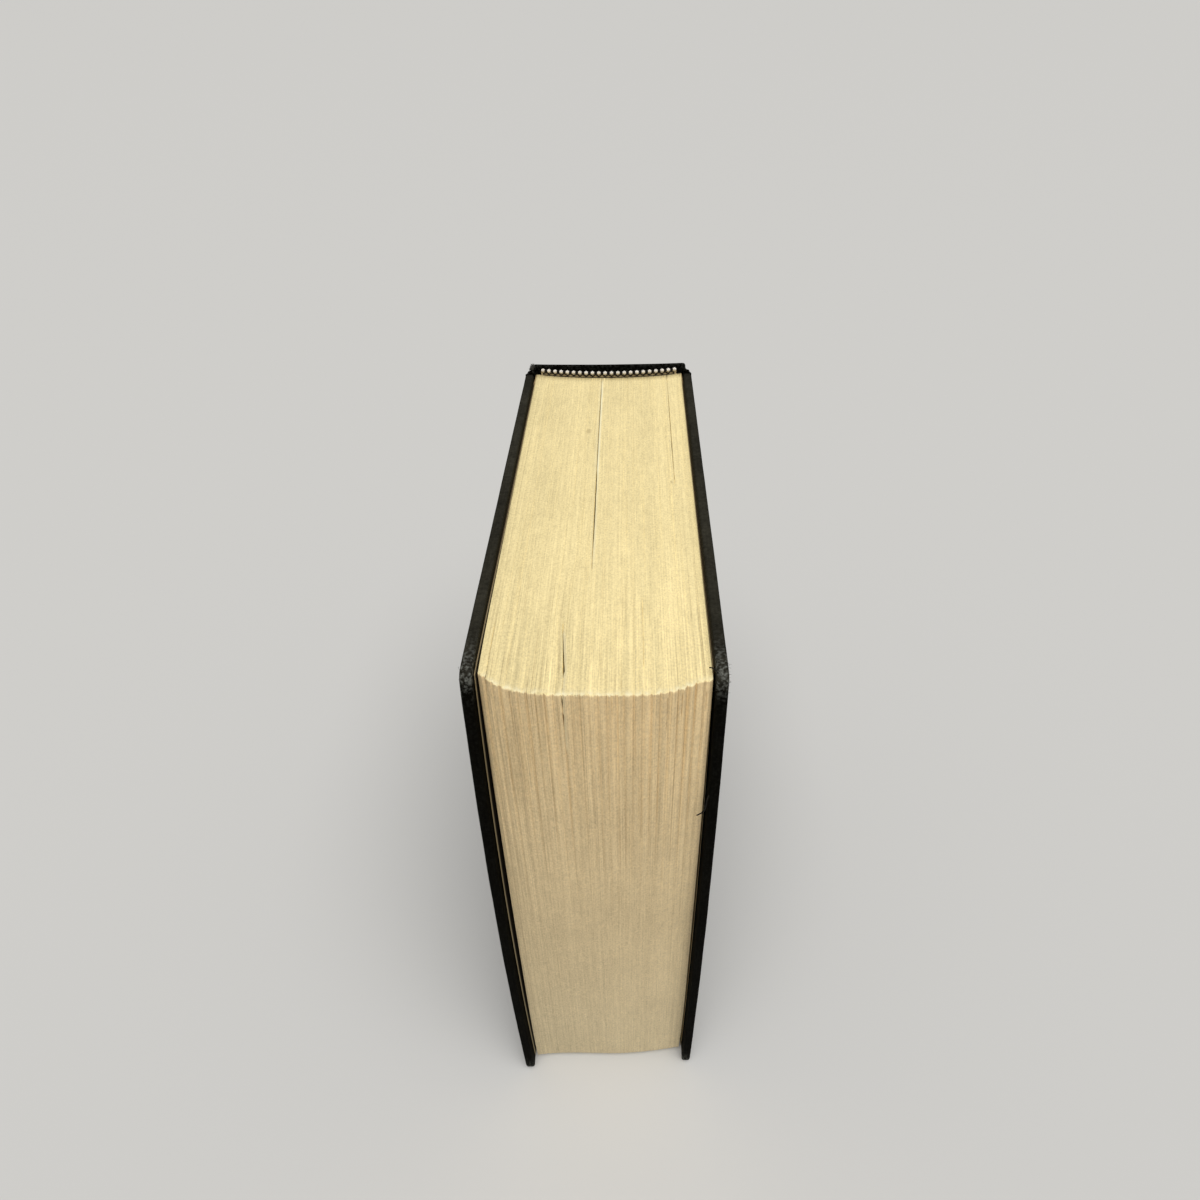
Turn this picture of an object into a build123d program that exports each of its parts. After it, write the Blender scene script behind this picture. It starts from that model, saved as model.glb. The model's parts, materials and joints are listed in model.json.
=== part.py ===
"""Case-bound hardcover book with a thick sewn text block, closed and standing on its tail.

X runs through the thickness, with the front cover at -X. Y runs from the fore-edge at -Y back to the spine
at +Y. Z runs from the tail up to the head. The origin is on the floor, under the middle of the book.
"""

import os
from math import sqrt

from build123d import *

# Driving sizes in millimetres

# Cover boards and the cloth round them
cover_height = 230.0  # tail to head, over the cloth
cover_width = 177.5  # fore-edge to the back edge of the board
board_thickness = 2.6
cloth_thickness = 0.35
turn_in_width = 15.0  # cloth folded round onto the inside of the board
corner_radius = 3.0  # fore-edge corners, rounded by wear
edge_radius = 0.8  # roll of the cloth over the board's edges
front_cover_bow = 1.7  # how far the front board has bowed outwards, halfway up the fore-edge
back_cover_bow = 0.9  # the same for the back board
front_cover_creep = 4.1  # how far the front cover has crept forward at the tail

# Endpapers
paper_thickness = 0.15
pastedown_margin = 3.0  # cloth left showing past the pastedown at head and tail
pastedown_set_back = 7.0  # fore-edge of the pastedown behind the front of the boards
front_flyleaf_set_back = 3.4  # fore-edge of the front flyleaf behind the front of the boards, at the head
front_flyleaf_creep = 2.6  # how far it has crept forward with the cover, at the tail
back_flyleaf_set_back = 6.0  # fore-edge of the back flyleaf behind the front of the boards

# Text block
pages_thickness = 61.1
square = 3.0  # how far the boards stand past the pages at head and tail
signature_count = 27
signature_notch = 0.35  # valley between two signatures at the fore-edge
fore_edge_flatness = 4.0  # power of the fore-edge curve, higher for a flatter middle
head_swell = 4.1  # middle of the fore-edge in front of the boards, at the head
head_set_back = 4.0  # sides of the fore-edge behind the front of the boards, at the head
tail_middle_set_back = 2.2  # middle of the fore-edge behind the front of the boards, at the tail
tail_front_set_back = 1.0  # side by the front cover behind the front of the boards, at the tail
tail_back_set_back = 5.5  # the same by the back cover
head_hollow = 3.8  # how far the middle of the back has sunk in, at the head
tail_hollow = 1.4  # the same at the tail
back_to_spine = 4.0  # sides of the back to the outside of the spine

# Splits between the leaves, where the block has cracked open at the head
middle_split_x = -2.4
middle_split_width = 0.6
middle_split_length = 118.0
middle_split_depth = 6.0
middle_split_from_back = 8.0
side_split_x = 24.4
side_split_width = 0.4
side_split_length = 73.0
side_split_depth = 4.0
side_split_from_back = 8.0
corner_split_x = -7.5  # the one that opens at the fore-edge
corner_split_width = 0.7
corner_split_length = 31.0
corner_split_depth = 26.0
corner_split_lean = 1.0

# Joints, where the covers hinge
joint_width = 6.0  # back edge of the board to the shoulder of the spine
hinge_depth = 0.8  # hinge line below the outside of the cover
fold_gap = 0.2  # parting of the cloth at the bottom of the groove

# Spine panel
spine_depth = 5.3
spine_corner_radius = 1.6
spine_sink = 0.8  # how far the middle of the panel has sunk in
inlay_thickness = 0.8

# Lining and bands on the back of the text block
lining_thickness = 0.4
lining_end_gap = 14.0  # lining stops short of the head and the tail
lining_folds = 9
tape_thickness = 0.4
tape_length = 12.0
band_side_gap = 2.0
band_rise = 1.8  # middle of the wraps above the edge of the pages
wrap_radius = 0.9
wrap_length = 1.6
wrap_pitch = 2.65
wrap_sides = 6

# Clearances
glue_gap = 0.05  # glued paper and cloth
paste_gap = 0.1  # pastedown to the bare board
cover_gap = 0.25  # cover to flyleaf, when closed
groove_gap = 0.15  # bottom of the groove to the flyleaf
swing_gap = 0.4  # opened cover to the side of the spine

# Places worked out from the driving sizes

# Outwards from the middle of the block
half_block = pages_thickness / 2
flyleaf_x = half_block + glue_gap
flyleaf_outside_x = flyleaf_x + paper_thickness
cover_inside_x = flyleaf_outside_x + cover_gap
turn_in_x = cover_inside_x + paper_thickness
board_inside_x = turn_in_x + cloth_thickness
board_outside_x = board_inside_x + board_thickness
cover_outside_x = board_outside_x + cloth_thickness
hinge_x = cover_outside_x - hinge_depth
spine_side_x = 2 * hinge_x - cover_outside_x - swing_gap
groove_radius = hinge_x - flyleaf_outside_x - groove_gap - cloth_thickness

# Backwards from the fore-edge
overall_depth = head_swell + cover_width + joint_width + spine_depth
front_y = -overall_depth / 2
board_front_y = front_y + head_swell
board_back_y = board_front_y + cover_width
hinge_y = board_back_y + joint_width / 2
spine_back_y = overall_depth / 2
block_back_y = spine_back_y - back_to_spine

# Upwards from the floor
tail_z = square
head_z = cover_height - square


def back_y(x, z):
    """Y of the block's hollow back at that place, a circle's arc that changes evenly from tail to head."""
    share = (z - tail_z) / (head_z - tail_z)
    hollow = tail_hollow + share * (head_hollow - tail_hollow)
    radius = (half_block**2 + hollow**2) / (2 * hollow)
    return block_back_y - hollow + radius - sqrt(radius**2 - x**2)


def draw_block_outline(middle_set_back, front_set_back, back_set_back, hollow):
    """Plan of the text block: a scalloped fore-edge, two straight sides and a hollow back."""

    def fore_edge_y(x):
        side_set_back = front_set_back if x < 0 else back_set_back
        rounding = abs(x / half_block) ** fore_edge_flatness
        return board_front_y + middle_set_back + (side_set_back - middle_set_back) * rounding

    def across(number):
        return -half_block + pages_thickness * number / signature_count

    for number in range(signature_count):
        left, middle, right = across(number), across(number + 0.5), across(number + 1)
        ThreePointArc(
            (left, fore_edge_y(left) + signature_notch),
            (middle, fore_edge_y(middle)),
            (right, fore_edge_y(right) + signature_notch),
        )
    front_side_y = fore_edge_y(-half_block) + signature_notch
    back_side_y = fore_edge_y(half_block) + signature_notch
    Line((half_block, back_side_y), (half_block, block_back_y))
    ThreePointArc(
        (half_block, block_back_y),
        (0, block_back_y - hollow),
        (-half_block, block_back_y),
    )
    Line((-half_block, block_back_y), (-half_block, front_side_y))


def draw_split(x, back_end_y, length, width):
    """Plan of a split between two leaves: a long thin lens."""
    front_end_y = back_end_y - length
    middle_y = back_end_y - length / 2
    ThreePointArc((x, front_end_y), (x + width / 2, middle_y), (x, back_end_y))
    ThreePointArc((x, back_end_y), (x - width / 2, middle_y), (x, front_end_y))


def draw_back_strip(z, offset, thickness, half_width):
    """Section of a strip that follows the block's back at one height."""
    side = back_y(half_width, z) + offset
    middle = back_y(0, z) + offset
    ThreePointArc((-half_width, side), (0, middle), (half_width, side))
    Line((half_width, side), (half_width, side + thickness))
    ThreePointArc(
        (half_width, side + thickness),
        (0, middle + thickness),
        (-half_width, side + thickness),
    )
    Line((-half_width, side + thickness), (-half_width, side))


# Text block: the gathered signatures as one solid
with BuildPart() as text_block:
    with BuildSketch(Plane.XY.offset(tail_z)):
        with BuildLine():
            draw_block_outline(tail_middle_set_back, tail_front_set_back, tail_back_set_back, tail_hollow)
        make_face()
    with BuildSketch(Plane.XY.offset(head_z)):
        with BuildLine():
            draw_block_outline(-head_swell, head_set_back, head_set_back, head_hollow)
        make_face()
    loft(ruled=True)
    with BuildSketch(Plane.XY.offset(head_z)):
        with BuildLine():
            draw_split(
                middle_split_x,
                back_y(middle_split_x, head_z) - middle_split_from_back,
                middle_split_length,
                middle_split_width,
            )
        make_face()
    extrude(amount=-middle_split_depth, mode=Mode.SUBTRACT)
    with BuildSketch(Plane.XY.offset(head_z)):
        with BuildLine():
            draw_split(
                side_split_x,
                back_y(side_split_x, head_z) - side_split_from_back,
                side_split_length,
                side_split_width,
            )
        make_face()
    extrude(amount=-side_split_depth, mode=Mode.SUBTRACT)
    # The corner split is widest at the fore-edge and closes both inwards and downwards
    split_mouth_y = front_y - signature_notch
    with BuildSketch(Plane.XY.offset(head_z)) as split_mouth:
        with BuildLine():
            Polyline(
                (corner_split_x - corner_split_width / 2, split_mouth_y),
                (corner_split_x + corner_split_width / 2, split_mouth_y),
                (corner_split_x - corner_split_lean, front_y + corner_split_length),
                close=True,
            )
        make_face()
    split_foot = Vertex(corner_split_x, split_mouth_y, head_z - corner_split_depth)
    loft([split_mouth.sketch.face(), split_foot], mode=Mode.SUBTRACT)


def build_flyleaf(set_back, creep):
    """Free half of the front endpaper, against the first leaf."""
    leaf_front_y = board_front_y + set_back
    with BuildPart() as flyleaf:
        with BuildSketch(Plane.YZ.offset(-flyleaf_outside_x)):
            with BuildLine():
                Polyline(
                    (leaf_front_y - creep, tail_z),
                    (block_back_y, tail_z),
                    (block_back_y, head_z),
                    (leaf_front_y, head_z),
                    close=True,
                )
            make_face()
        extrude(amount=paper_thickness)
    return flyleaf.part


with BuildPart() as front_flyleaf:
    add(build_flyleaf(front_flyleaf_set_back, front_flyleaf_creep))

# Spine lining: open-weave cloth and paper glued over the backs of the signatures, flat over each of a few of them
with BuildPart() as spine_lining:
    for lining_z in (tail_z + lining_end_gap, head_z - lining_end_gap):
        inner_points = [
            (x, back_y(x, lining_z) + glue_gap)
            for x in (half_block * (2 * number / lining_folds - 1) for number in range(lining_folds + 1))
        ]
        outer_points = [(x, y + lining_thickness) for x, y in reversed(inner_points)]
        with BuildSketch(Plane.XY.offset(lining_z)):
            with BuildLine():
                Polyline(*inner_points, *outer_points, close=True)
            make_face()
    loft(ruled=True)


def build_band(edge_z, outwards):
    """Woven band at one end of the back: a tape glued to the block, with thread wraps along its free edge."""
    half_band = half_block - band_side_gap
    wrap_z = edge_z + outwards * band_rise
    tape_end_z = edge_z - outwards * tape_length
    # One arc serves the whole tape, so it is taken where the back is least hollow
    arc_z = max(edge_z, tape_end_z, key=lambda z: back_y(0, z))
    wrap_offset = glue_gap + tape_thickness / 2
    with BuildPart() as band:
        with BuildSketch(Plane.XY.offset(wrap_z)):
            with BuildLine():
                draw_back_strip(arc_z, glue_gap, tape_thickness, half_band)
            make_face()
        extrude(amount=tape_end_z - wrap_z)
        with BuildLine():
            wrap_line = ThreePointArc(
                (-half_band, back_y(half_band, arc_z) + wrap_offset, wrap_z),
                (0, back_y(0, arc_z) + wrap_offset, wrap_z),
                (half_band, back_y(half_band, arc_z) + wrap_offset, wrap_z),
            )
        wrap_count = int((wrap_line.length - wrap_length) / wrap_pitch) + 1
        for number in range(wrap_count):
            share = 0.5 + (number - (wrap_count - 1) / 2) * wrap_pitch / wrap_line.length
            with BuildSketch(Plane(origin=wrap_line @ share, x_dir=(0, 0, 1), z_dir=wrap_line % share)):
                RegularPolygon(wrap_radius, wrap_sides)
            extrude(amount=wrap_length / 2, both=True)
    return band


head_band = build_band(head_z, 1)
tail_band = build_band(tail_z, -1)


def build_bowed_slab(inside_x, outside_x, cover_bow):
    """Slab of a front cover between two depths, straight along the joint and bowed outwards along the fore-edge."""
    with BuildPart() as slab:
        for section_y in (board_back_y, front_y):
            bow = cover_bow * (board_back_y - section_y) / cover_width
            with BuildSketch(Plane.XZ.offset(-section_y)):
                with BuildLine():
                    for x in (inside_x, outside_x):
                        if bow:
                            ThreePointArc((-x, 0), (-x - bow, cover_height / 2), (-x, cover_height))
                        else:
                            Line((-x, 0), (-x, cover_height))
                    for z in (0, cover_height):
                        Line((-inside_x, z), (-outside_x, z))
                make_face()
        loft(ruled=True)
    return slab.part


def build_cover_layer(inside_x, outside_x, inset, creep, bow, corner=0.0, set_back=None):
    """Layer of a front cover, drawn in from its edges at head, tail and fore-edge, but not at the joint.

    The set-back draws the fore-edge in by a distance of its own.
    """
    layer_front_y = board_front_y + (inset if set_back is None else set_back)
    with BuildPart() as layer:
        with BuildSketch(Plane.YZ) as outline:
            with BuildLine():
                Polyline(
                    (board_back_y, inset),
                    (layer_front_y - creep, inset),
                    (layer_front_y, cover_height - inset),
                    (board_back_y, cover_height - inset),
                    close=True,
                )
            make_face()
            if corner:
                fillet(outline.vertices().sort_by(Axis.X)[:2], corner)
        extrude(amount=-2 * cover_outside_x)
        add(build_bowed_slab(inside_x, outside_x, bow), mode=Mode.INTERSECT)
    return layer.part


def build_board(creep, bow):
    """Stiff binder's board."""
    corner = corner_radius - cloth_thickness
    return build_cover_layer(board_inside_x, board_outside_x, cloth_thickness, creep, bow, corner)


def build_cover_cloth(creep, bow):
    """Cloth wrapped round three edges of the board, and down into the joint as far as the hinge line."""
    with BuildPart() as cloth:
        add(build_cover_layer(turn_in_x, cover_outside_x, 0, creep, bow, corner_radius))
        large_faces = cloth.faces().sort_by(SortBy.AREA)[-2:]
        rims = large_faces.edges().filter_by_position(Axis.Y, front_y, board_back_y, inclusive=(True, False))
        fillet(rims, edge_radius)
        add(build_board(creep, bow), mode=Mode.SUBTRACT)
        add(build_cover_layer(turn_in_x, board_inside_x, turn_in_width, creep, bow), mode=Mode.SUBTRACT)
        with BuildSketch(Plane.XY):
            with BuildLine():
                groove_outside = groove_radius + cloth_thickness
                Line((-cover_outside_x, board_back_y), (-hinge_x, hinge_y - groove_radius))
                CenterArc((-hinge_x, hinge_y), groove_radius, -90, 90)
                Line((-hinge_x + groove_radius, hinge_y), (-hinge_x + groove_outside, hinge_y))
                CenterArc((-hinge_x, hinge_y), groove_outside, -90, 90)
                Line((-hinge_x, hinge_y - groove_outside), (-board_outside_x, board_back_y))
                Line((-board_outside_x, board_back_y), (-cover_outside_x, board_back_y))
            make_face()
        extrude(amount=cover_height)
    return cloth.part


def build_pastedown(creep, bow):
    """Endpaper pasted over the turn-ins, and stepping down onto the bare board between them."""
    pasted_x = board_inside_x - paste_gap
    step_inset = turn_in_width + paper_thickness
    with BuildPart() as pastedown:
        add(build_cover_layer(
            cover_inside_x, turn_in_x, pastedown_margin, creep, bow, set_back=pastedown_set_back
        ))
        add(build_cover_layer(turn_in_x, pasted_x, turn_in_width, creep, bow))
        step = build_cover_layer(cover_inside_x, pasted_x - paper_thickness, step_inset, creep, bow)
        add(step, mode=Mode.SUBTRACT)
    return pastedown.part


with BuildPart() as front_board:
    add(build_board(front_cover_creep, front_cover_bow))
with BuildPart() as front_cover_cloth:
    add(build_cover_cloth(front_cover_creep, front_cover_bow))
with BuildPart() as front_pastedown:
    add(build_pastedown(front_cover_creep, front_cover_bow))


def draw_panel_arc(inset, reverse=False):
    """Sunken back of the spine panel, drawn in from its outside."""
    end_x = spine_side_x - spine_corner_radius
    start = (-end_x, spine_back_y - inset)
    finish = (end_x, spine_back_y - inset)
    middle = (0, spine_back_y - spine_sink - inset)
    if reverse:
        start, finish = finish, start
    ThreePointArc(start, middle, finish)


def draw_spine_side(inset, side):
    """One side of the spine cloth, from the bottom of the groove round the shoulder to the panel."""
    radius = groove_radius + inset
    shoulder_x = spine_side_x - inset
    shoulder_y = hinge_y + sqrt(radius**2 - (hinge_x - shoulder_x) ** 2)
    corner = spine_corner_radius - inset
    corner_x = spine_side_x - spine_corner_radius
    corner_y = spine_back_y - spine_corner_radius
    foot_y = hinge_y + fold_gap
    foot_x = hinge_x - sqrt(radius**2 - fold_gap**2)
    bisector = (foot_x + shoulder_x) / 2 - hinge_x, (foot_y + shoulder_y) / 2 - hinge_y
    reach = radius / sqrt(bisector[0] ** 2 + bisector[1] ** 2)
    groove_middle = hinge_x + bisector[0] * reach, hinge_y + bisector[1] * reach
    corner_middle = corner_x + corner * sqrt(0.5), corner_y + corner * sqrt(0.5)
    ThreePointArc(
        (side * foot_x, foot_y),
        (side * groove_middle[0], groove_middle[1]),
        (side * shoulder_x, shoulder_y),
    )
    Line((side * shoulder_x, shoulder_y), (side * shoulder_x, corner_y))
    ThreePointArc(
        (side * shoulder_x, corner_y),
        (side * corner_middle[0], corner_middle[1]),
        (side * corner_x, spine_back_y - inset),
    )
    return side * foot_x, foot_y


# Spine inlay: card strip that stiffens the hollow spine
inlay_inside = cloth_thickness + inlay_thickness
panel_end_x = spine_side_x - spine_corner_radius
with BuildPart() as spine_inlay:
    with BuildSketch(Plane.XY.offset(cloth_thickness)):
        with BuildLine():
            draw_panel_arc(cloth_thickness)
            Line((panel_end_x, spine_back_y - cloth_thickness), (panel_end_x, spine_back_y - inlay_inside))
            draw_panel_arc(inlay_inside, reverse=True)
            Line((-panel_end_x, spine_back_y - inlay_inside), (-panel_end_x, spine_back_y - cloth_thickness))
        make_face()
    extrude(amount=cover_height - 2 * cloth_thickness)

# Spine cloth: one sheet from groove to groove, turned in over the inlay at head and tail
with BuildPart() as spine_cloth:
    with BuildSketch(Plane.XY):
        with BuildLine():
            for spine_side in (-1, 1):
                outer_foot = draw_spine_side(0, spine_side)
                inner_foot = draw_spine_side(cloth_thickness, spine_side)
                Line(outer_foot, inner_foot)
            draw_panel_arc(0)
            draw_panel_arc(cloth_thickness)
        make_face()
    extrude(amount=cover_height)
    turn_in_inside = inlay_inside + cloth_thickness
    for turn_in_z in (0, cover_height - turn_in_width):
        with BuildSketch(Plane.XY.offset(turn_in_z)):
            with BuildLine():
                draw_panel_arc(0)
                Line((panel_end_x, spine_back_y), (panel_end_x, spine_back_y - turn_in_inside))
                draw_panel_arc(turn_in_inside, reverse=True)
                Line((-panel_end_x, spine_back_y - turn_in_inside), (-panel_end_x, spine_back_y))
            make_face()
        extrude(amount=turn_in_width)
    add(spine_inlay.part, mode=Mode.SUBTRACT)

# Back cover and back flyleaf: square ones mirrored through the middle of the block
with BuildPart() as back_flyleaf:
    mirror(build_flyleaf(back_flyleaf_set_back, 0), about=Plane.YZ)
with BuildPart() as back_board:
    mirror(build_board(0, back_cover_bow), about=Plane.YZ)
with BuildPart() as back_cover_cloth:
    mirror(build_cover_cloth(0, back_cover_bow), about=Plane.YZ)
with BuildPart() as back_pastedown:
    mirror(build_pastedown(0, back_cover_bow), about=Plane.YZ)

pieces = {
    "text_block": text_block,
    "front_flyleaf": front_flyleaf,
    "back_flyleaf": back_flyleaf,
    "spine_lining": spine_lining,
    "head_band": head_band,
    "tail_band": tail_band,
    "spine_cloth": spine_cloth,
    "spine_inlay": spine_inlay,
    "front_board": front_board,
    "front_cover_cloth": front_cover_cloth,
    "front_pastedown": front_pastedown,
    "back_board": back_board,
    "back_cover_cloth": back_cover_cloth,
    "back_pastedown": back_pastedown,
}

os.makedirs("parts", exist_ok=True)
for name, piece in pieces.items():
    piece.part.label = name
    export_step(piece.part, f"parts/{name}.step")
print(f"hinge lines at x = ±{hinge_x:.3f}, y = {hinge_y:.3f}; covers out to x = ±{cover_outside_x:.3f}")
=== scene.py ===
# %% [markdown]
# # A thick cloth-bound book
#
# The CAD model already holds the book's construction: the block of pages, the boards, the cloth, the
# endpapers and the two hinges. This lesson dresses it. Each step says what a piece is on the real book and
# how it is made here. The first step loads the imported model, because every later piece takes its place from
# it.

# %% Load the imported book
import json

import bpy
import numpy as np
from mathutils import Matrix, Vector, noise


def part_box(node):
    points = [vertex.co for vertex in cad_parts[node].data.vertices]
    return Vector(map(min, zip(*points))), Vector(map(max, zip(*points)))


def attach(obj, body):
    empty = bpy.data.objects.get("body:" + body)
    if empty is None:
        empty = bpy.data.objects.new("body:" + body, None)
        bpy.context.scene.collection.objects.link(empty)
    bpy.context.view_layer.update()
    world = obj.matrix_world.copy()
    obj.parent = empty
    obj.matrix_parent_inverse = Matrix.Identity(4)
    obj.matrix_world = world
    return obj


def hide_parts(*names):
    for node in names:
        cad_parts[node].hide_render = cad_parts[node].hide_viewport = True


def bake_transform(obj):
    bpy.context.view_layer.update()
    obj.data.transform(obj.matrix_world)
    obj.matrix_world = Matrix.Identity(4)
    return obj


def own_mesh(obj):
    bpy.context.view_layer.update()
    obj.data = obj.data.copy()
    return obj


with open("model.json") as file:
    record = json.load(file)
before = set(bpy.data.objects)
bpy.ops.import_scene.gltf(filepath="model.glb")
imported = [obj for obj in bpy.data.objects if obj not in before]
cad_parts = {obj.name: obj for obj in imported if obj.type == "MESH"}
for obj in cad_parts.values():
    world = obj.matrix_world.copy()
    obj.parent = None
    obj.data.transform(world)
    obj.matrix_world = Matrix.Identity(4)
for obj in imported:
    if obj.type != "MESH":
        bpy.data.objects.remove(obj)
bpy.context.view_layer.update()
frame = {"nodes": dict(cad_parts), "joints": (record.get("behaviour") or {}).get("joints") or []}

# %% [markdown]
# Sizes are easier to read in millimetres, so the script works in those and turns them into metres when it
# makes a mesh. The boxes of the CAD nodes give most of them. The front cover is at -X, the fore-edge at -Y
# and the head at +Z.

# %% Read the book's sizes from the frame
MM = 0.001


def node_box(node):
    """Lowest and highest corner of a CAD node in millimetres."""
    low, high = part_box(node)
    return np.array(low) / MM, np.array(high) / MM


PAGES_LOW, PAGES_HIGH = node_box("text_block")
COVER_LOW, COVER_HIGH = node_box("back_cover_cloth")
BOARD_LOW, BOARD_HIGH = node_box("back_board")
LEAF_LOW, LEAF_HIGH = node_box("back_flyleaf")
INLAY_LOW, INLAY_HIGH = node_box("spine_inlay")
FRONT_LOW = node_box("front_cover_cloth")[0]
FRONT_LEAF_LOW = node_box("front_flyleaf")[0]
PASTE_LOW = node_box("back_pastedown")[0]
SPINE_HIGH = node_box("spine_cloth")[1]
HINGE_X, HINGE_Y = np.abs(frame["joints"][0]["pos_m"][:2]) / MM

HALF_PAGES = PAGES_HIGH[0]
TAIL_Z, HEAD_Z = PAGES_LOW[2], PAGES_HIGH[2]
BACK_Y = PAGES_HIGH[1]
HEIGHT = COVER_HIGH[2]
COVER_FRONT, BOARD_BACK = COVER_LOW[1], BOARD_HIGH[1]
CLOTH = 0.35
HINGE_DEPTH = 0.8
COVER_OUTSIDE = HINGE_X + HINGE_DEPTH
FRONT_BOW, BACK_BOW = -FRONT_LOW[0] - COVER_OUTSIDE, COVER_HIGH[0] - COVER_OUTSIDE
BOARD_INSIDE = BOARD_LOW[0]
TURN_IN_FACE = BOARD_INSIDE - CLOTH
# How far the front cover and its flyleaf have crept forward at the tail
FRONT_COVER_CREEP, FRONT_LEAF_CREEP = 4.1, 2.6
print(f"pages {2 * HALF_PAGES:.1f} mm thick, covers bowed by {FRONT_BOW:.2f} and {BACK_BOW:.2f} mm")

# %% [markdown]
# Three small helpers keep the later cells short. One makes an object from points and faces, one lists the
# faces of a grid, and one eases a value from 0 to 1, as Blender's own Smooth Step does.


# %% Helpers for meshes
def make_piece(name, points, faces, *finishes):
    """New mesh object from points in millimetres, shaded smooth, with those materials."""
    mesh = bpy.data.meshes.new(name)
    mesh.from_pydata((np.asarray(points, float) * MM).tolist(), [], faces)
    for finish in finishes:
        mesh.materials.append(finish)
    mesh.polygons.foreach_set("use_smooth", [True] * len(mesh.polygons))
    piece = bpy.data.objects.new(name, mesh)
    bpy.context.scene.collection.objects.link(piece)
    print(f"{name}: {len(mesh.vertices)} points, {len(mesh.polygons)} faces")
    return piece


def grid_faces(rows, columns, ring=False, start=0):
    """Quads between rows of points, where ring joins each row's last point to its first."""
    faces = []
    for row in range(rows - 1):
        for column in range(columns if ring else columns - 1):
            after = (column + 1) % columns
            low, high = start + row * columns, start + (row + 1) * columns
            faces.append((low + column, low + after, high + after, high + column))
    return faces


def ease(low, high, value):
    """0 below low, 1 above high and a smooth step between them."""
    share = np.clip((np.asarray(value, float) - low) / (high - low), 0, 1)
    return share * share * (3 - 2 * share)


def mark(piece, name, values):
    """Stores one number for each point, for the materials to read."""
    layer = piece.data.attributes.new(name, "FLOAT", "POINT")
    layer.data.foreach_set("value", np.asarray(values, np.float32).ravel())


# %% [markdown]
# Materials are node trees, and they are quicker to read as formulas. So a small class stands for a wire,
# one output of a node: sums and products of wires add Math nodes to the tree. A node's inputs are fed by
# plain values or by wires.


# %% Nodes and wires
class Wire:
    """One output of a node. Arithmetic with it adds Math nodes to its tree."""

    __array_ufunc__ = None  # numpy leaves arithmetic with wires to this class

    def __init__(self, node, output=0):
        self.tree, self.socket = node.id_data, node.outputs[output]

    def math(self, operation, first, second=0.0):
        return add_wire(self.tree, "ShaderNodeMath", {0: first, 1: second}, operation=operation)

    def __add__(self, other):
        return self.math("ADD", self, other)

    def __radd__(self, other):
        return self.math("ADD", other, self)

    def __sub__(self, other):
        return self.math("SUBTRACT", self, other)

    def __rsub__(self, other):
        return self.math("SUBTRACT", other, self)

    def __mul__(self, other):
        return self.math("MULTIPLY", self, other)

    def __truediv__(self, other):
        return self.math("DIVIDE", self, other)

    def __mod__(self, other):
        return self.math("MODULO", self, other)

    def __abs__(self):
        return self.math("ABSOLUTE", self)

    def mapped(self, from_low, from_high, to_low=0.0, to_high=1.0):
        """The value moved from one range to another and held within it."""
        feeds = {"Value": self, 1: from_low, 2: from_high, 3: to_low, 4: to_high}
        return add_wire(self.tree, "ShaderNodeMapRange", feeds)

    def mix(self, first, second):
        """Colour between two others, with this value as the share of the second."""
        feeds = {"Factor": self, 6: first, 7: second}
        return add_wire(self.tree, "ShaderNodeMix", feeds, 2, data_type="RGBA")

    def bump(self, depth, strength):
        """Normal from this height of 0 to 1, which stands for so many millimetres."""
        feeds = {"Height": self, "Distance": depth * MM, "Strength": strength}
        return add_wire(self.tree, "ShaderNodeBump", feeds)


def feed(node, feeds):
    """Feeds a node's inputs, each with a plain value or a wire."""
    for key, value in feeds.items():
        if isinstance(value, Wire):
            node.id_data.links.new(value.socket, node.inputs[key])
        else:
            node.inputs[key].default_value = value


def add_node(tree, kind, feeds=None, **options):
    """New node in a tree, with its options set and its inputs fed."""
    node = tree.nodes.new(kind)
    for option, value in options.items():
        setattr(node, option, value)
    feed(node, feeds or {})
    return node


def add_wire(tree, kind, feeds=None, output=0, **options):
    """One output of a new node."""
    return Wire(add_node(tree, kind, feeds, **options), output)


print("sums and products of wires become nodes")

# %% [markdown]
# A few more helpers serve all the materials. Noise takes the number of its lumps to the metre along each
# axis. Colours are written as they look on a screen, in steps of 255, and turned into the linear values
# that a shader wants.


# %% Helpers for materials
def colour(red, green, blue):
    """Linear colour for a shader from a screen colour in steps of 255."""
    screen = np.array([red, green, blue]) / 255
    linear = np.where(screen <= 0.04045, screen / 12.92, ((screen + 0.055) / 1.055) ** 2.4)
    return (*linear.tolist(), 1.0)


def new_finish(name, roughness, shine=0.2):
    """New material with its tree, its shader and a wire that gives a point's place on the piece."""
    finish = bpy.data.materials.new(name)
    finish.use_nodes = True
    tree = finish.node_tree
    shader = tree.nodes["Principled BSDF"]
    feed(shader, {"Roughness": roughness, "Specular IOR Level": shine})
    return finish, tree, shader, add_wire(tree, "ShaderNodeTexCoord", output="Object")


def axes_of(vector):
    """X, Y and Z of a vector."""
    node = add_node(vector.tree, "ShaderNodeSeparateXYZ", {0: vector})
    return [Wire(node, axis) for axis in "XYZ"]


def distance(vector, place):
    """How far a vector is from a place."""
    return add_wire(vector.tree, "ShaderNodeVectorMath", {0: vector, 1: place}, "Value", operation="DISTANCE")


def highest(first, second):
    """The larger of a value and a wire."""
    return second.math("MAXIMUM", first, second)


def noise_at(place, per_metre, detail):
    """Noise from 0 to 1, with so many lumps to the metre along X, Y and Z."""
    scaled = add_wire(place.tree, "ShaderNodeMapping", {"Vector": place, "Scale": per_metre})
    return add_wire(place.tree, "ShaderNodeTexNoise", {"Vector": scaled, "Scale": 1.0, "Detail": detail})


def point_value(tree, name):
    """Value that a mesh stores for each point."""
    return add_wire(tree, "ShaderNodeAttribute", output="Fac", attribute_name=name)


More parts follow.
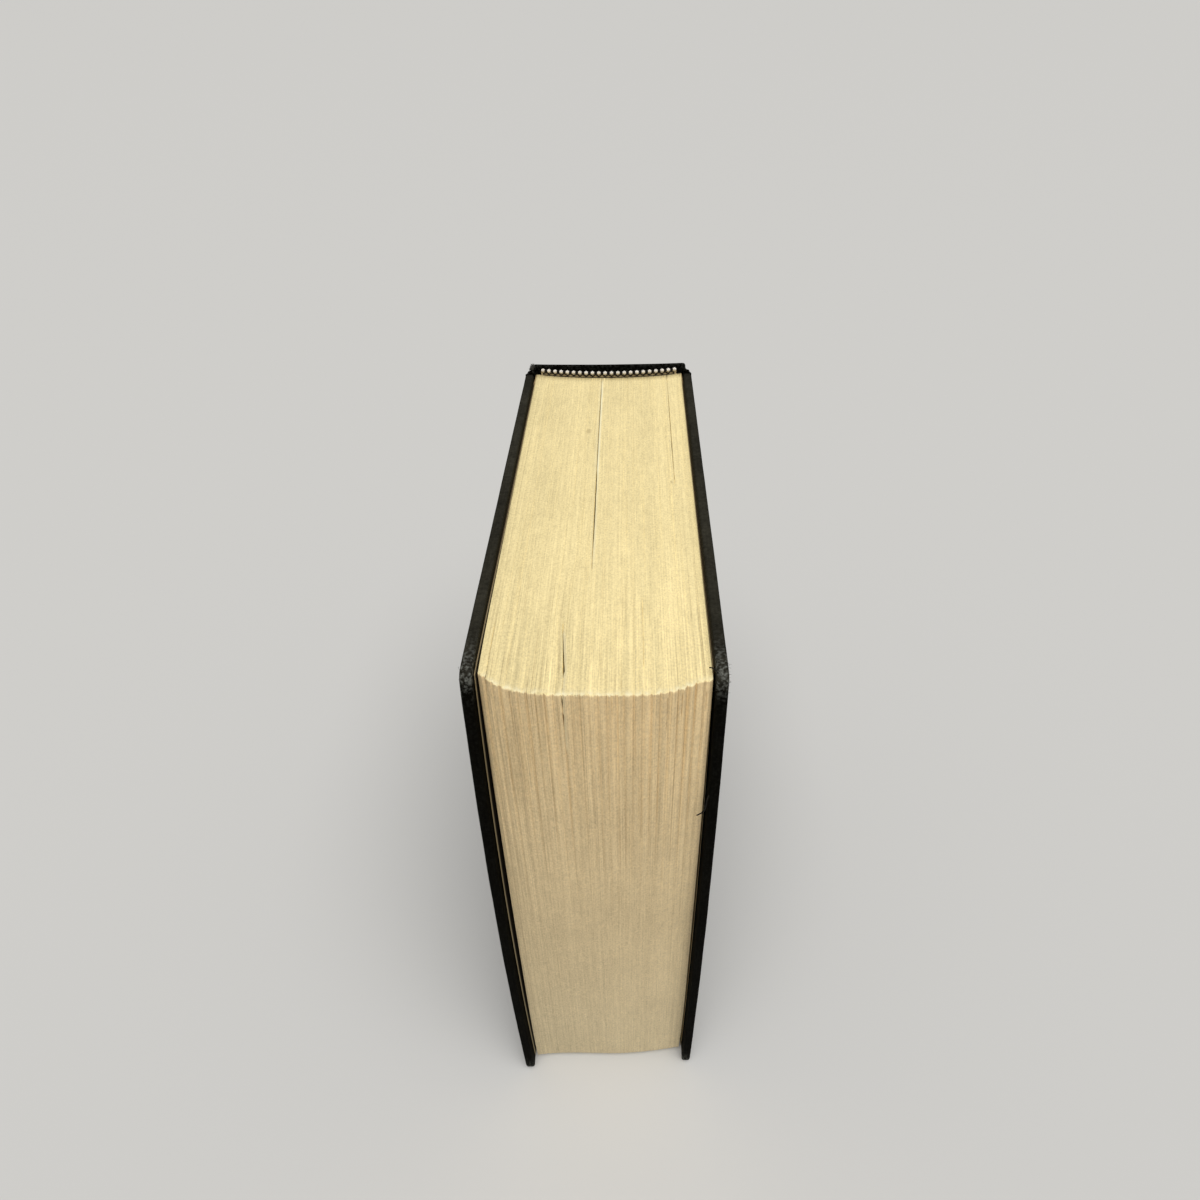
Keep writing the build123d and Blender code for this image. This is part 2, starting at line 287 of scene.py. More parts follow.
def layered_light(layers):
    """1 plus each layer's distance from one half, times its amount."""
    light = 1.0
    for layer, amount in layers:
        light = light + (layer - 0.5) * amount
    return light


def dimmed(colours, light):
    """Colours times a light."""
    return add_wire(colours.tree, "ShaderNodeHueSaturation", {"Value": light, "Color": colours})


# %% [markdown]
# ## The finishes
#
# The edges of the pages are hundreds of paper edges side by side, so part of their pattern is streaks:
# noise that is squeezed hard across the leaves and drawn out along them. Because it reads Object
# coordinates, the same noise gives streaks along Y on the head and along Z on the fore-edge. Away from the
# rim the edges are rubbed smooth, so there the streaks fade and an even grain is left. The head has
# yellowed and the fore-edge has browned, and the surface's normal tells them apart. The mesh stores a tone
# for each group of leaves, the folds between signatures, the fluffy rim and the splits. The splits get
# painted shade, the leaves beside them a painted highlight, and the pages a painted light that grows across
# towards the back cover.

# %% Finish of the page edges
HEAD_PAPER = colour(241, 222, 166)
FORE_EDGE_PAPER = colour(238, 211, 162)
TAIL_PAPER = colour(212, 195, 158)
LEAF_SIDE_PAPER = colour(226, 208, 164)
FOLD_SHADE = colour(134, 106, 66)
SPLIT_SHADE = colour(70, 50, 26)
# The second of these colours is a painted highlight, for the leaves beside a split that catch the light
RIM_FLUFF, SPLIT_LIP_HIGHLIGHT, SPECK = colour(252, 241, 200), colour(255, 246, 206), colour(120, 96, 56)
THUMB_PLACE = (-2 * MM, COVER_FRONT * MM, 125 * MM)  # where thumbs have soiled the fore-edge
SPECKS = ((-6.35, 42.0, 1.3), (23.4, 5.2, 0.6))  # x and y on the head, and radius
SPECK_SQUASH = 0.5  # specks are drawn out along the leaves
FORE_EDGE_FADE, HEAD_FADE = 120, 62  # how far from the rim the streaks fade out


def page_light(tree, place, lines, grain, towards_head):
    """Brightness of the pages: streaks, flecks, stains, a slow change across with a painted light that grows
    towards the back cover, and the thumbed place.
    """
    x, y, _ = axes_of(place)
    flecks = noise_at(place, (2000, 110, 80), 3)
    blotches = noise_at(place, (380, 240, 260), 3)
    stains = noise_at(place, (45, 26, 30), 4)
    # Painted light: the pages grow a little brighter towards the back cover, as a light on that side would
    # make them
    across = x.mapped(-HALF_PAGES * MM, HALF_PAGES * MM)
    behind = y.mapped(COVER_FRONT * MM, BACK_Y * MM, 1.0, 0.0)
    layers = (lines, 1.15), (flecks, 0.34), (blotches, 0.18), (stains, 0.24), (grain, 0.62)
    slow_layers = (across, 0.07), (behind, 0.05), (point_value(tree, "tone"), 0.1)
    light = layered_light(layers + slow_layers)
    light = light * abs(towards_head * 2 - 1).mapped(0.0, 1.0, 0.94, 1.0)
    return light * distance(place, THUMB_PLACE).mapped(5 * MM, 45 * MM, 0.965, 1.0)


def page_specks(place):
    """How far a point lies in one of the small brown specks on the head."""
    flat = add_wire(place.tree, "ShaderNodeMapping", {"Vector": place, "Scale": (1.0, SPECK_SQUASH, 1.0)})
    spots = 0.0
    for x, y, radius in SPECKS:
        away = distance(flat, (x * MM, y * SPECK_SQUASH * MM, HEAD_Z * MM))
        spots = highest(spots, away.mapped(0.4 * radius * MM, radius * MM, 0.32, 0.0))
    return spots


def make_page_finish():
    finish, tree, shader, place = new_finish("page_edges", 0.86)
    normal_x, _, normal_z = axes_of(add_wire(tree, "ShaderNodeNewGeometry", output="Normal"))
    _, y, z = axes_of(place)
    upwards = abs(normal_z).mapped(0.35, 0.8)
    towards_head = z.mapped(TAIL_Z * MM, HEAD_Z * MM)
    paper = upwards.mix(towards_head.mix(TAIL_PAPER, FORE_EDGE_PAPER), HEAD_PAPER)
    paper = abs(normal_x).mapped(0.8, 0.95).mix(paper, LEAF_SIDE_PAPER)
    from_rim = highest(y - COVER_FRONT * MM, HEAD_Z * MM - z)
    fade_length = upwards.mapped(0.0, 1.0, FORE_EDGE_FADE * MM, HEAD_FADE * MM)
    near_rim = (from_rim / fade_length).mapped(0.05, 1.0, 1.0, 0.2)
    streaks, gatherings = noise_at(place, (2600, 20, 14), 3), noise_at(place, (700, 14, 9), 2)
    lines = (streaks * 0.6 + gatherings * 0.4 - 0.5) * near_rim + 0.5
    grain = noise_at(place, (1800, 1400, 1200), 3)
    paper = dimmed(paper, page_light(tree, place, lines, grain, towards_head))
    broken = noise_at(place, (240, 45, 34), 3).mapped(0.38, 0.62)
    paper = (point_value(tree, "fold") * near_rim * broken * 0.85).mix(paper, FOLD_SHADE)
    tufts = noise_at(place, (700, 420, 420), 4).mapped(0.38, 0.6)
    paper = (point_value(tree, "rim") * tufts).mix(paper, RIM_FLUFF)
    # Painted highlight on the leaves beside a split, where their edges catch the light
    paper = point_value(tree, "lip_highlight").mix(paper, SPLIT_LIP_HIGHLIGHT)
    paper = page_specks(place).mix(paper, SPECK)
    ragged = noise_at(place, (400, 700, 700), 3).mapped(0.3, 0.55, 0.35, 1.0)
    paper = (point_value(tree, "split") * ragged).mix(paper, SPLIT_SHADE)
    feed(shader, {"Base Color": paper, "Normal": (lines + grain * 0.5).bump(0.16, 0.7)})
    return finish


page_edges = make_page_finish()
print("finish made:", page_edges.name)

# %% [markdown]
# Book cloth is a plain weave filled with starch and black dye. The threads lie about 0.45 mm apart, which
# is too fine to model, so they are bump: a product of two waves is a checkerboard of thread crossings, and
# adding the three products of X, Y and Z gives such crossings on every side of the cover. Thicker stretches
# of thread, the slubs, show as paler streaks both ways. The broad sides have faded and the head edges are
# lighter still, and where hands and shelves have rubbed the corners the dye has gone and grey shows. The
# meshes store how much lighter and how rubbed each point is.

# %% Finish of the book cloth
THREAD_PITCH = 0.45
# The third colour is the lighter black of the broad sides and the head edges
BLACKEST, BLACK, LIGHTENED_CLOTH, RUBBED = colour(5, 4, 2), colour(10, 9, 5), colour(50, 48, 40), colour(112, 113, 106)


def make_cloth_finish():
    finish, tree, shader, place = new_finish("black_book_cloth", 0.78, 0.02)
    turns = [axis * (np.pi / (THREAD_PITCH * MM)) for axis in axes_of(place)]
    across, along, upright = (turn.math("SINE", turn) for turn in turns)
    weave = across * along + along * upright + upright * across
    slubs, cross_slubs = noise_at(place, (900, 900, 200), 3), noise_at(place, (200, 200, 900), 3)
    clouds = noise_at(place, (60, 45, 40), 4)
    # Lighter where the mesh says: on the broad sides and along the head edges
    cloth = point_value(tree, "lightened").mix(clouds.mix(BLACKEST, BLACK), LIGHTENED_CLOTH)
    threads = (slubs, 1.3), (cross_slubs, 1.1), (weave.mapped(-1.5, 1.5), 0.5), (clouds, 0.4)
    cloth = dimmed(cloth, layered_light(threads))
    patches = noise_at(place, (1000, 1000, 1000), 5).mapped(0.46, 0.64)
    cloth = (point_value(tree, "rubbed") * patches).mix(cloth, RUBBED)
    feed(shader, {"Base Color": cloth, "Normal": (weave * 0.3 + slubs).bump(0.09, 0.8)})
    return finish


book_cloth = make_cloth_finish()
print("finish made:", book_cloth.name)

# %% [markdown]
# The endpapers are stronger paper with a faint tooth. They have browned from their edges inwards, and the
# acid of the boards has mottled them. The pastedowns get painted shade along their head and tail, where they
# lie deep between board and pages. The board, the card of the spine and the lining are hidden unless
# someone looks into the hollow of the spine, so plain speckled finishes do for them. The bands are dyed
# thread.


# %% Finishes of the endpapers, boards and threads
BROWNED_WIDTH = 22.0  # how far in from its edges an endpaper has browned
# Painted shade, for paper that lies deep between the boards and the pages
PAINTED_SHADE = colour(52, 41, 28)


def make_fibre_finish(name, light, dark, lumps):
    """Plain fibrous stuff: two colours mixed by noise, with so many lumps to the metre."""
    finish, tree, shader, place = new_finish(name, 0.9)
    clouds, fibres = noise_at(place, (0.08 * lumps,) * 3, 4), noise_at(place, (lumps,) * 3, 3)
    share = (clouds * 0.6 + fibres * 0.4).mapped(0.32, 0.68)
    feed(shader, {"Base Color": share.mix(light, dark), "Normal": fibres.bump(0.05, 0.6)})
    return finish


def make_endpaper_finish(name, light, dark, shaded_ends=0.0, shaded=False):
    """Endpaper browned towards its edges, with painted shade along its head and tail as dark as the fourth
    argument says. A shaded one also gets painted shade wherever the mesh marks it as hidden in the gap beside
    the pages.
    """
    finish, tree, shader, place = new_finish(name, 0.88)
    middle, half = (LEAF_LOW + LEAF_HIGH) / 2, (LEAF_HIGH - LEAF_LOW) / 2
    _, y, z = axes_of(place)
    across, upright = abs(y - middle[1] * MM), abs(z - middle[2] * MM)
    near_side = across.mapped((half[1] - BROWNED_WIDTH) * MM, half[1] * MM)
    near_end = upright.mapped((half[2] - BROWNED_WIDTH) * MM, half[2] * MM)
    share = highest(near_side, near_end) * 0.5 + noise_at(place, (30, 30, 30), 5) * 0.55
    paper = share.mapped(0.15, 0.95).mix(light, dark)
    # Painted shade along the head and tail, as dark as the fourth argument says
    shade = upright.mapped((half[2] - 2.5) * MM, (half[2] - 1.0) * MM, 0.0, shaded_ends)
    if shaded:
        # Painted shade of the gap beside the pages, where the mesh marks the paper as hidden
        shade = highest(shade, point_value(tree, "hidden_shade"))
    tooth = noise_at(place, (1800, 1800, 1800), 2)
    feed(shader, {"Base Color": shade.mix(paper, PAINTED_SHADE), "Normal": tooth.bump(0.04, 0.5)})
    return finish


cream, browned_cream = colour(236, 222, 186), colour(206, 178, 126)
endpaper = make_endpaper_finish("aged_endpaper", cream, browned_cream)
# The pastedowns get painted shade along their head and tail
pasted_paper = make_endpaper_finish("pasted_endpaper", cream, browned_cream, 0.9)
# The side of a flyleaf that faces the pages gets colours darkened as painted shade of the gap
shaded_cream, shaded_brown = colour(196, 184, 152), colour(160, 146, 114)
flyleaf_shaded_inside = make_endpaper_finish("flyleaf_shaded_inside", shaded_cream, shaded_brown, shaded=True)
flyleaf_edge = make_endpaper_finish("flyleaf_edge", colour(196, 176, 134), colour(150, 128, 88))
grey_board = make_fibre_finish("grey_board", colour(150, 142, 128), colour(112, 104, 92), 900)
spine_card = make_fibre_finish("spine_card", colour(160, 142, 112), colour(126, 108, 82), 700)
glued_lining = make_fibre_finish("glued_lining", colour(176, 150, 106), colour(120, 92, 56), 1400)
white_thread = make_fibre_finish("white_thread", colour(252, 248, 240), colour(222, 214, 198), 3000)
black_thread = make_fibre_finish("black_thread", colour(34, 31, 27), colour(16, 14, 12), 3000)
cream_tape = make_fibre_finish("cream_tape", colour(214, 194, 150), colour(168, 142, 98), 2200)
for node_name, finish in {
    "front_pastedown": pasted_paper,
    "back_pastedown": pasted_paper,
    "spine_inlay": spine_card,
    "spine_lining": glued_lining,
}.items():
    frame["nodes"][node_name].material_slots[0].material = finish
print("finishes given to the CAD nodes that stay")

# %% [markdown]
# ## The block of pages
#
# The pages are folded in signatures, sewn one after another. The block has swollen forward at the head, so
# its fore-edge bulges there and the back has sunk in. Each signature keeps a small flat of its own on that
# curve, which shows as teeth along the head. The mesh is a grid: one column for each group of a few leaves,
# and rows that run up the fore-edge, round the rim, over the head, down the back and along the tail. A grid
# like this follows the leaves, so a split between two leaves is only one column pushed in.

# %% Columns of leaves
SIGNATURES = 27
GROUPS = 6  # groups of leaves in a signature
HEAD_SIDE_Y = COVER_FRONT + 4.0
TAIL_MIDDLE_Y, TAIL_FRONT_Y, TAIL_BACK_Y = (COVER_FRONT + set_back for set_back in (2.2, 1.0, 5.5))
HEAD_MIDDLE_Y = PAGES_LOW[1]
HEAD_HOLLOW, TAIL_HOLLOW = 3.8, 1.4
FORE_EDGE_POWER, TAIL_POWER, LAST_LEAVES_FORWARD = 4.0, 1.7, 1.9
SIGNATURE_NOTCH = 0.42
FLAT_SHARE = 0.5  # how far each signature's edge is a flat of its own
draw = np.random.default_rng(27)

columns = 2 * SIGNATURES * GROUPS + 1
leaf = np.linspace(0, SIGNATURES, columns)
leaf_x = HALF_PAGES * (2 * leaf / SIGNATURES - 1)
signature = np.minimum(leaf.astype(int), SIGNATURES - 1)
signature_x = HALF_PAGES * (2 * (signature + 0.5) / SIGNATURES - 1)
is_valley = np.arange(columns) % 2 == 0
group = np.minimum(np.arange(columns) // 2, SIGNATURES * GROUPS - 1)
group_out = draw.normal(0, 0.1, SIGNATURES * GROUPS)[group]
group_up = draw.normal(0, 0.05, SIGNATURES * GROUPS)[group]
group_tone = draw.uniform(0, 1, SIGNATURES * GROUPS)[group]
group_phase = draw.uniform(0, 2 * np.pi, SIGNATURES * GROUPS)[group]
valley = np.where(is_valley, draw.uniform(0.02, 0.14, columns), 0.0)
at_fold = np.isclose(leaf, np.round(leaf))
valley += np.where(at_fold, draw.uniform(0.02, 0.14, columns), 0.0)
fold_depth = np.where(
    at_fold, draw.uniform(0.1, 0.8, columns), np.where(is_valley, draw.uniform(-0.9, 0.7, columns), 0)
)
rim_radius = draw.uniform(0.3, 0.8, columns)
print(f"{columns} columns over {SIGNATURES} signatures")


# %% [markdown]
# Two formulas give the block's plan. The fore-edge is a power curve, flatter in the middle than a circle,
# and it changes evenly from the tail to the head. At the tail its back half falls away sooner, and at the
# head the last leaves lean forward. The back is an arc of a circle whose hollow grows towards the head.


# %% Plan of the block
def fore_edge(x, z):
    """Y of the fore-edge at that place."""
    share = (z - TAIL_Z) / (HEAD_Z - TAIL_Z)
    middle = TAIL_MIDDLE_Y + share * (HEAD_MIDDLE_Y - TAIL_MIDDLE_Y)
    tail_side = np.where(np.asarray(x) < 0, TAIL_FRONT_Y, TAIL_BACK_Y)
    side = tail_side + share * (HEAD_SIDE_Y - tail_side)
    out = np.abs(x / HALF_PAGES)
    rounding = out**FORE_EDGE_POWER
    fall = np.where(np.asarray(x) > 0, 1 - share, 0) * (out**TAIL_POWER - rounding)
    forward = LAST_LEAVES_FORWARD * ease(26, HALF_PAGES, x) * ease(0.3, 1, share)
    return middle + (side - middle) * (rounding + fall) - forward


def back_edge(x, z):
    """Y of the hollow back at that place."""
    share = (z - TAIL_Z) / (HEAD_Z - TAIL_Z)
    hollow = TAIL_HOLLOW + share * (HEAD_HOLLOW - TAIL_HOLLOW)
    radius = (HALF_PAGES**2 + hollow**2) / (2 * hollow)
    return BACK_Y - hollow + radius - np.sqrt(radius**2 - x**2)


middle_y, side_y = fore_edge(0, HEAD_Z), fore_edge(HALF_PAGES, HEAD_Z)
print(f"fore-edge at the head: {middle_y:.1f} in the middle, {side_y:.1f} at a side")

# %% [markdown]
# The rows follow. Most of them lie near the rim, where the paper edges are worn round and the teeth show.
# Each column has its own small push in or out, and a slow wave along its length, so that no two leaves are
# quite alike.

# %% Rows up the fore-edge and over the head
FORE_ROWS, HEAD_ROWS = 44, 60
FORE_RIM = np.radians([20, 45])
HEAD_RIM = np.radians([70, 90])
SHARP_REACH, RUBBED_SHARPNESS = 120, 0.12  # below that reach from the head, the edges are rubbed smooth

climb = np.concatenate([[0, 0.001, 0.004], np.sin(np.linspace(0, 1, FORE_ROWS - 2) * np.pi / 2)[1:]])
run = 1 - np.cos(np.linspace(0, 1, HEAD_ROWS + 1)[1:] * np.pi / 2)
teeth = FLAT_SHARE * (fore_edge(signature_x, HEAD_Z) - fore_edge(leaf_x, HEAD_Z))
teeth += SIGNATURE_NOTCH * (2 * (leaf - signature) - 1) ** 2


def rim_points(angles):
    """How far back from the fore-edge and how far below the head the worn rim lies, at those angles."""
    back = rim_radius[:, None] * (1 - np.cos(angles))
    down = rim_radius[:, None] * (1 - np.sin(angles))
    return back, down


def slow_wave(place, height, length, turns=1):
    """Wave along the leaves, with a phase of its own for each group of them."""
    return height * np.sin(place / length + turns * group_phase[:, None])


fore_back, fore_down = rim_points(FORE_RIM)
straight = TAIL_Z + climb[None, :] * (HEAD_Z - rim_radius[:, None] - TAIL_Z)
fore_z = np.hstack([straight, HEAD_Z - fore_down])
fore_x = np.repeat(leaf_x[:, None], fore_z.shape[1], axis=1)
wave = slow_wave(fore_z, height=0.07, length=21) + slow_wave(fore_z, height=0.05, length=9, turns=2)
sharp = RUBBED_SHARPNESS + (1 - RUBBED_SHARPNESS) * ease(HEAD_Z - SHARP_REACH, HEAD_Z, fore_z)
stand = (teeth + group_out + valley)[:, None]
fore_y = fore_edge(fore_x, fore_z) + sharp * stand + (0.3 + 0.7 * sharp) * wave
fore_y[:, FORE_ROWS:] += fore_back

head_back, head_down = rim_points(HEAD_RIM)
front_y = fore_edge(leaf_x, HEAD_Z) + teeth + group_out + valley
inner_y = (front_y + rim_radius)[:, None]
back_y = back_edge(leaf_x, HEAD_Z)[:, None]
head_y = np.hstack([front_y[:, None] + head_back, inner_y + run[None, :] * (back_y - inner_y)])
head_x = np.repeat(leaf_x[:, None], head_y.shape[1], axis=1)
head_wave = slow_wave(head_y, height=0.04, length=17)
head_z = HEAD_Z + np.minimum(group_up[:, None] - 0.5 * valley[:, None] + head_wave - 0.1, 0.0)
head_z[:, : len(HEAD_RIM)] -= head_down
fore_count, head_count = fore_z.shape[1], head_z.shape[1]
print(f"{fore_count} rows up the fore-edge and {head_count} over the head")

# %% [markdown]
# The block has cracked between some of its leaves. A split takes the column nearest to it and pushes it in,
# on the head or on the fore-edge or on both, and it moves the leaves on either side apart. How far it opens
# is given at a few places along it. The splits are the long one in the middle of the head, the thin one
# beside the back cover, the one that runs over the rim, a loose first group of leaves, and a few short gaps
# at the top of the fore-edge.

# %% Splits between the leaves
MIDDLE_SPLIT_X, SIDE_SPLIT_X, CORNER_SPLIT_X, FIRST_GROUP_X = -2.4, 24.4, -7.8, -28.2
MIDDLE_DRIFT, CORNER_DRIFT = 0.5, 1.3  # how far those two splits stray from a straight line
OPEN_WIDTH, DARK_WIDTH = 0.04, 0.12  # widths from which a split is fully open and fully dark
PUSHED_ASIDE = 1.6  # distance over which the leaves beside a split give way
GAPS = (18.8, 2, 13), (29.0, 4, 6), (22.6, 2, 9), (-21.5, 1, 8)  # x, distance below the head and length
GAP_WIDTH = 0.05
LIP_HIGHLIGHT_SHARES = 1.0, 0.9, 0.6, 0.3  # how strong the painted highlight on the leaves next to a split is, outwards
split_fore, split_head = np.zeros_like(fore_x), np.zeros_like(head_x)
lip_highlight_fore, lip_highlight_head = np.zeros_like(fore_x), np.zeros_like(head_x)
behind = head_y - COVER_FRONT
middle_drift = MIDDLE_DRIFT * np.sin(np.clip((behind - 60) / 120, -1, 1) * np.pi / 2)
corner_drift = CORNER_DRIFT * np.clip((behind - 4) / 18, 0, 1) * (1 - ease(26, 60, behind))
near_middle = np.exp(-(((head_x - MIDDLE_SPLIT_X) / 5) ** 2))
near_corner = np.exp(-(((head_x - CORNER_SPLIT_X) / 4) ** 2))
head_x -= middle_drift * near_middle + corner_drift * near_corner


def open_split(x, places, widths, depth, on_head, lip_highlight=0.4):
    """Opens the leaves at x by so many millimetres at each place along them. The last argument is how strong
    the painted highlight on its lips is.
    """
    column = int(np.argmin(np.abs(leaf_x - x) + np.where(is_valley, 0, 9)))
    across, along = (head_x, head_y) if on_head else (fore_x, fore_z)
    shade, lip_highlights = (split_head, lip_highlight_head) if on_head else (split_fore, lip_highlight_fore)
    width = np.interp(along[column], places, widths)
    ragged = np.array([noise.noise((x, 0.45 * place, 0.0)) for place in along[column]])
    width = np.maximum(width * (1 + 0.5 * ragged), 0)
    is_open = np.clip(width / OPEN_WIDTH, 0, 1)
    # Painted highlight on the leaves beside the split
    painted_highlight = is_open * np.interp(along[column], places, np.broadcast_to(lip_highlight, len(places)))
    aside = np.sign(np.arange(columns) - column) * np.exp(-np.abs(leaf_x - x) / PUSHED_ASIDE)
    across += aside[:, None] * width[None, :] / 2
    for step in (-1, 1):
        mouth = across[column] + step * width / 2
        across[column + step] += is_open * (mouth - across[column + step])
        for further, share in enumerate(LIP_HIGHLIGHT_SHARES, 1):
            edge = column + step * further
            lip_highlights[edge] = np.maximum(lip_highlights[edge], share * (0.6 + 0.4 * step) * painted_highlight)
    if on_head:
        head_z[column] -= depth * np.sqrt(is_open)
    else:
        fore_y[column] += depth * np.sqrt(is_open)
    shade[column] = np.maximum(shade[column], np.clip(width / DARK_WIDTH, 0, 1))


def from_front(*places):
    """Places on the head, given behind the front of the covers."""
    return [COVER_FRONT + place for place in places]


def below_head(*places):
    """Places on the fore-edge, given below the head, from the lowest up."""
    return [HEAD_Z - place for place in places]


CORNER_WIDTHS = (0, 0.14, 0.14, 0.03, 0.26, 0.46, 0.4, 0.06, 0.06, 0.46, 0.5, 0.14)
MIDDLE_WIDTHS = (0, 0.2, 0.52, 0.64, 0.56, 0.3, 0.28, 0.34, 0.32, 0)
# How strong the painted highlight beside the middle split is along it
MIDDLE_LIP_HIGHLIGHTS = (0.2, 0.4, 0.4, 0.4, 0.5, 0.95, 0.8, 0.95, 1.0, 0.6)
middle_places = from_front(50, 58, 72, 90, 101, 107, 130, 150, 168, 177)
open_split(MIDDLE_SPLIT_X, middle_places, MIDDLE_WIDTHS, 6, True, MIDDLE_LIP_HIGHLIGHTS)
open_split(SIDE_SPLIT_X, from_front(100, 112, 150, 180), (0, 0.3, 0.32, 0), 4, True, 0.1)
open_split(13.0, from_front(6, 14, 34), (0, 0.1, 0), 1, True, 0.0)
rim_places = from_front(-6, 3.9, 4.4, 7, 11, 22)
open_split(CORNER_SPLIT_X, rim_places, (0.06, 0.1, 0.66, 0.58, 0.36, 0), 7, True, 0.3)
corner_places = below_head(21, 19, 15, 13, 11, 10, 8, 7, 5, 4, 2, 0)
open_split(CORNER_SPLIT_X, corner_places, CORNER_WIDTHS, 4, False)
open_split(FIRST_GROUP_X, from_front(2, 9, 24), (0.05, 0.04, 0), 2, True, 0.0)
first_places = below_head(46, 22, 8, 4, 1, 0)
open_split(FIRST_GROUP_X, first_places, (0, 0.04, 0.09, 0.3, 0.36, 0.2), 3, False, 0.0)
for gap_x, gap_top, gap_length in GAPS:
    gap_places = below_head(gap_top + gap_length, gap_top + gap_length / 2, gap_top)
    open_split(gap_x, gap_places, (0, GAP_WIDTH, 0), 1, False, 0.0)
print(f"{int((split_head > 0).sum() + (split_fore > 0).sum())} points pushed in")

# %% [markdown]
# Now the four stretches of rows join into one ring for each column, and the rings into a closed mesh. Its
# two sides are the outermost leaves, filled with rows that run from the fore-edge to the back. Last, the
# outer leaves swell out a little where the boards have bowed away from them, and the loose first group
# leans away from its board at the head.

# %% Mesh of the block
SWELL, TAIL_PINCH, FIRST_GROUP_LEAN = 0.35, 0.6, 0.35
SWELL_REACH, PINCH_REACH = 150, 14  # behind the front, and above the tail
RIM_FLUFF_ROWS = 0.15, 0.5, 0.8, 0.85, 0.75, 0.6, 0.4, 0.2, 0.05  # fluff from the fore-edge to the head


def block_rings():
    """Points of every column's ring, and how far each one is in a split, on the rim or under the painted
    highlight on a split's lip.
    """
    back_z = fore_z[:, ::-1]
    back_x = np.repeat(leaf_x[:, None], fore_count, axis=1)
    back_points = np.stack([back_x, back_edge(back_x, np.clip(back_z, TAIL_Z, HEAD_Z)), back_z], -1)[:, 1:]
    tail_share = np.linspace(0, 1, head_count + 1)[1:-1]
    tail_y = back_edge(leaf_x, TAIL_Z)[:, None] * (1 - tail_share) + fore_y[:, :1] * tail_share
    tail_x = np.repeat(leaf_x[:, None], len(tail_share), axis=1)
    tail_lift = np.maximum(valley - group_up, 0)[:, None] * np.sin(tail_share * np.pi)[None, :]
    tail_points = np.stack([tail_x, tail_y, TAIL_Z + tail_lift], -1)
    fore_points = np.stack([fore_x, fore_y, fore_z], -1)
    head_points = np.stack([head_x, head_y, head_z], -1)
    rings = np.concatenate([fore_points, head_points, back_points, tail_points], axis=1)
    split = np.zeros(rings.shape[:2])
    split[:, :fore_count] = split_fore
    split[:, fore_count : fore_count + head_count] = split_head
    rim = np.zeros(rings.shape[:2])
    rim[:, fore_count - 2 : fore_count - 2 + len(RIM_FLUFF_ROWS)] = RIM_FLUFF_ROWS
    lip_highlight = np.zeros(rings.shape[:2])
    lip_highlight[:, :fore_count] = lip_highlight_fore
    lip_highlight[:, fore_count : fore_count + head_count] = lip_highlight_head
    return rings, split, rim * (1 - split), lip_highlight * (1 - split)


def side_rows(ring):
    """Inner points of one side of the block, spread between its four edges."""
    front, top = ring[:fore_count], ring[fore_count - 1 : fore_count + head_count]
    corner = fore_count + head_count - 1
    back = ring[corner : corner + fore_count][::-1]
    bottom = np.vstack([ring[corner + fore_count - 1 :], ring[:1]])[::-1]
    up = np.linspace(0, 1, fore_count)[1:-1, None, None]
    along = np.linspace(0, 1, head_count + 1)[None, 1:-1, None]
    sides = front[1:-1, None] * (1 - along) + back[1:-1, None] * along
    ends = bottom[None, 1:-1] * (1 - up) + top[None, 1:-1] * up
    low = front[0] * (1 - along) + back[0] * along
    high = front[-1] * (1 - along) + back[-1] * along
    return sides + ends - (low * (1 - up) + high * up)


def side_faces(ring_start, ring_size, inner_start, flip):
    """Faces that fill one side, using the ring's own points along the edges."""
    index = np.zeros((fore_count, head_count + 1), int)
    index[:, 0] = np.arange(fore_count)
    index[-1, :] = np.arange(fore_count - 1, fore_count + head_count)
    corner = fore_count + head_count - 1
    index[:, -1] = np.arange(corner, corner + fore_count)[::-1]
    index[0, 1:-1] = np.arange(corner + fore_count, ring_size)[::-1]
    index += ring_start
    inner = (fore_count - 2) * (head_count - 1)
    index[1:-1, 1:-1] = inner_start + np.arange(inner).reshape(fore_count - 2, head_count - 1)
    quads = np.stack([index[:-1, :-1], index[:-1, 1:], index[1:, 1:], index[1:, :-1]], -1).reshape(-1, 4)
    return (quads[:, ::-1] if flip else quads).tolist()


def settle_leaves(points):
    """Swells the outer leaves, draws them in at the tail and leans the first group at the head."""
    x, y, z = points.T
    towards_front = 1 - ease(COVER_FRONT, COVER_FRONT + SWELL_REACH, y)
    halfway = np.sin(np.pi * np.clip((z - TAIL_Z) / (HEAD_Z - TAIL_Z), 0, 1))
    swell = towards_front * (SWELL * halfway - TAIL_PINCH * np.exp(-(z - TAIL_Z) / PINCH_REACH))
    near_corner = np.exp(-np.maximum(y - COVER_FRONT - 4, 0) / 11) * np.exp(-np.maximum(HEAD_Z - z, 0) / 16)
    in_first_group = np.exp(-np.maximum(x - FIRST_GROUP_X, 0) / 4)
    points[:, 0] = x + swell * (x / HALF_PAGES) ** 3 + FIRST_GROUP_LEAN * near_corner * in_first_group
    return points


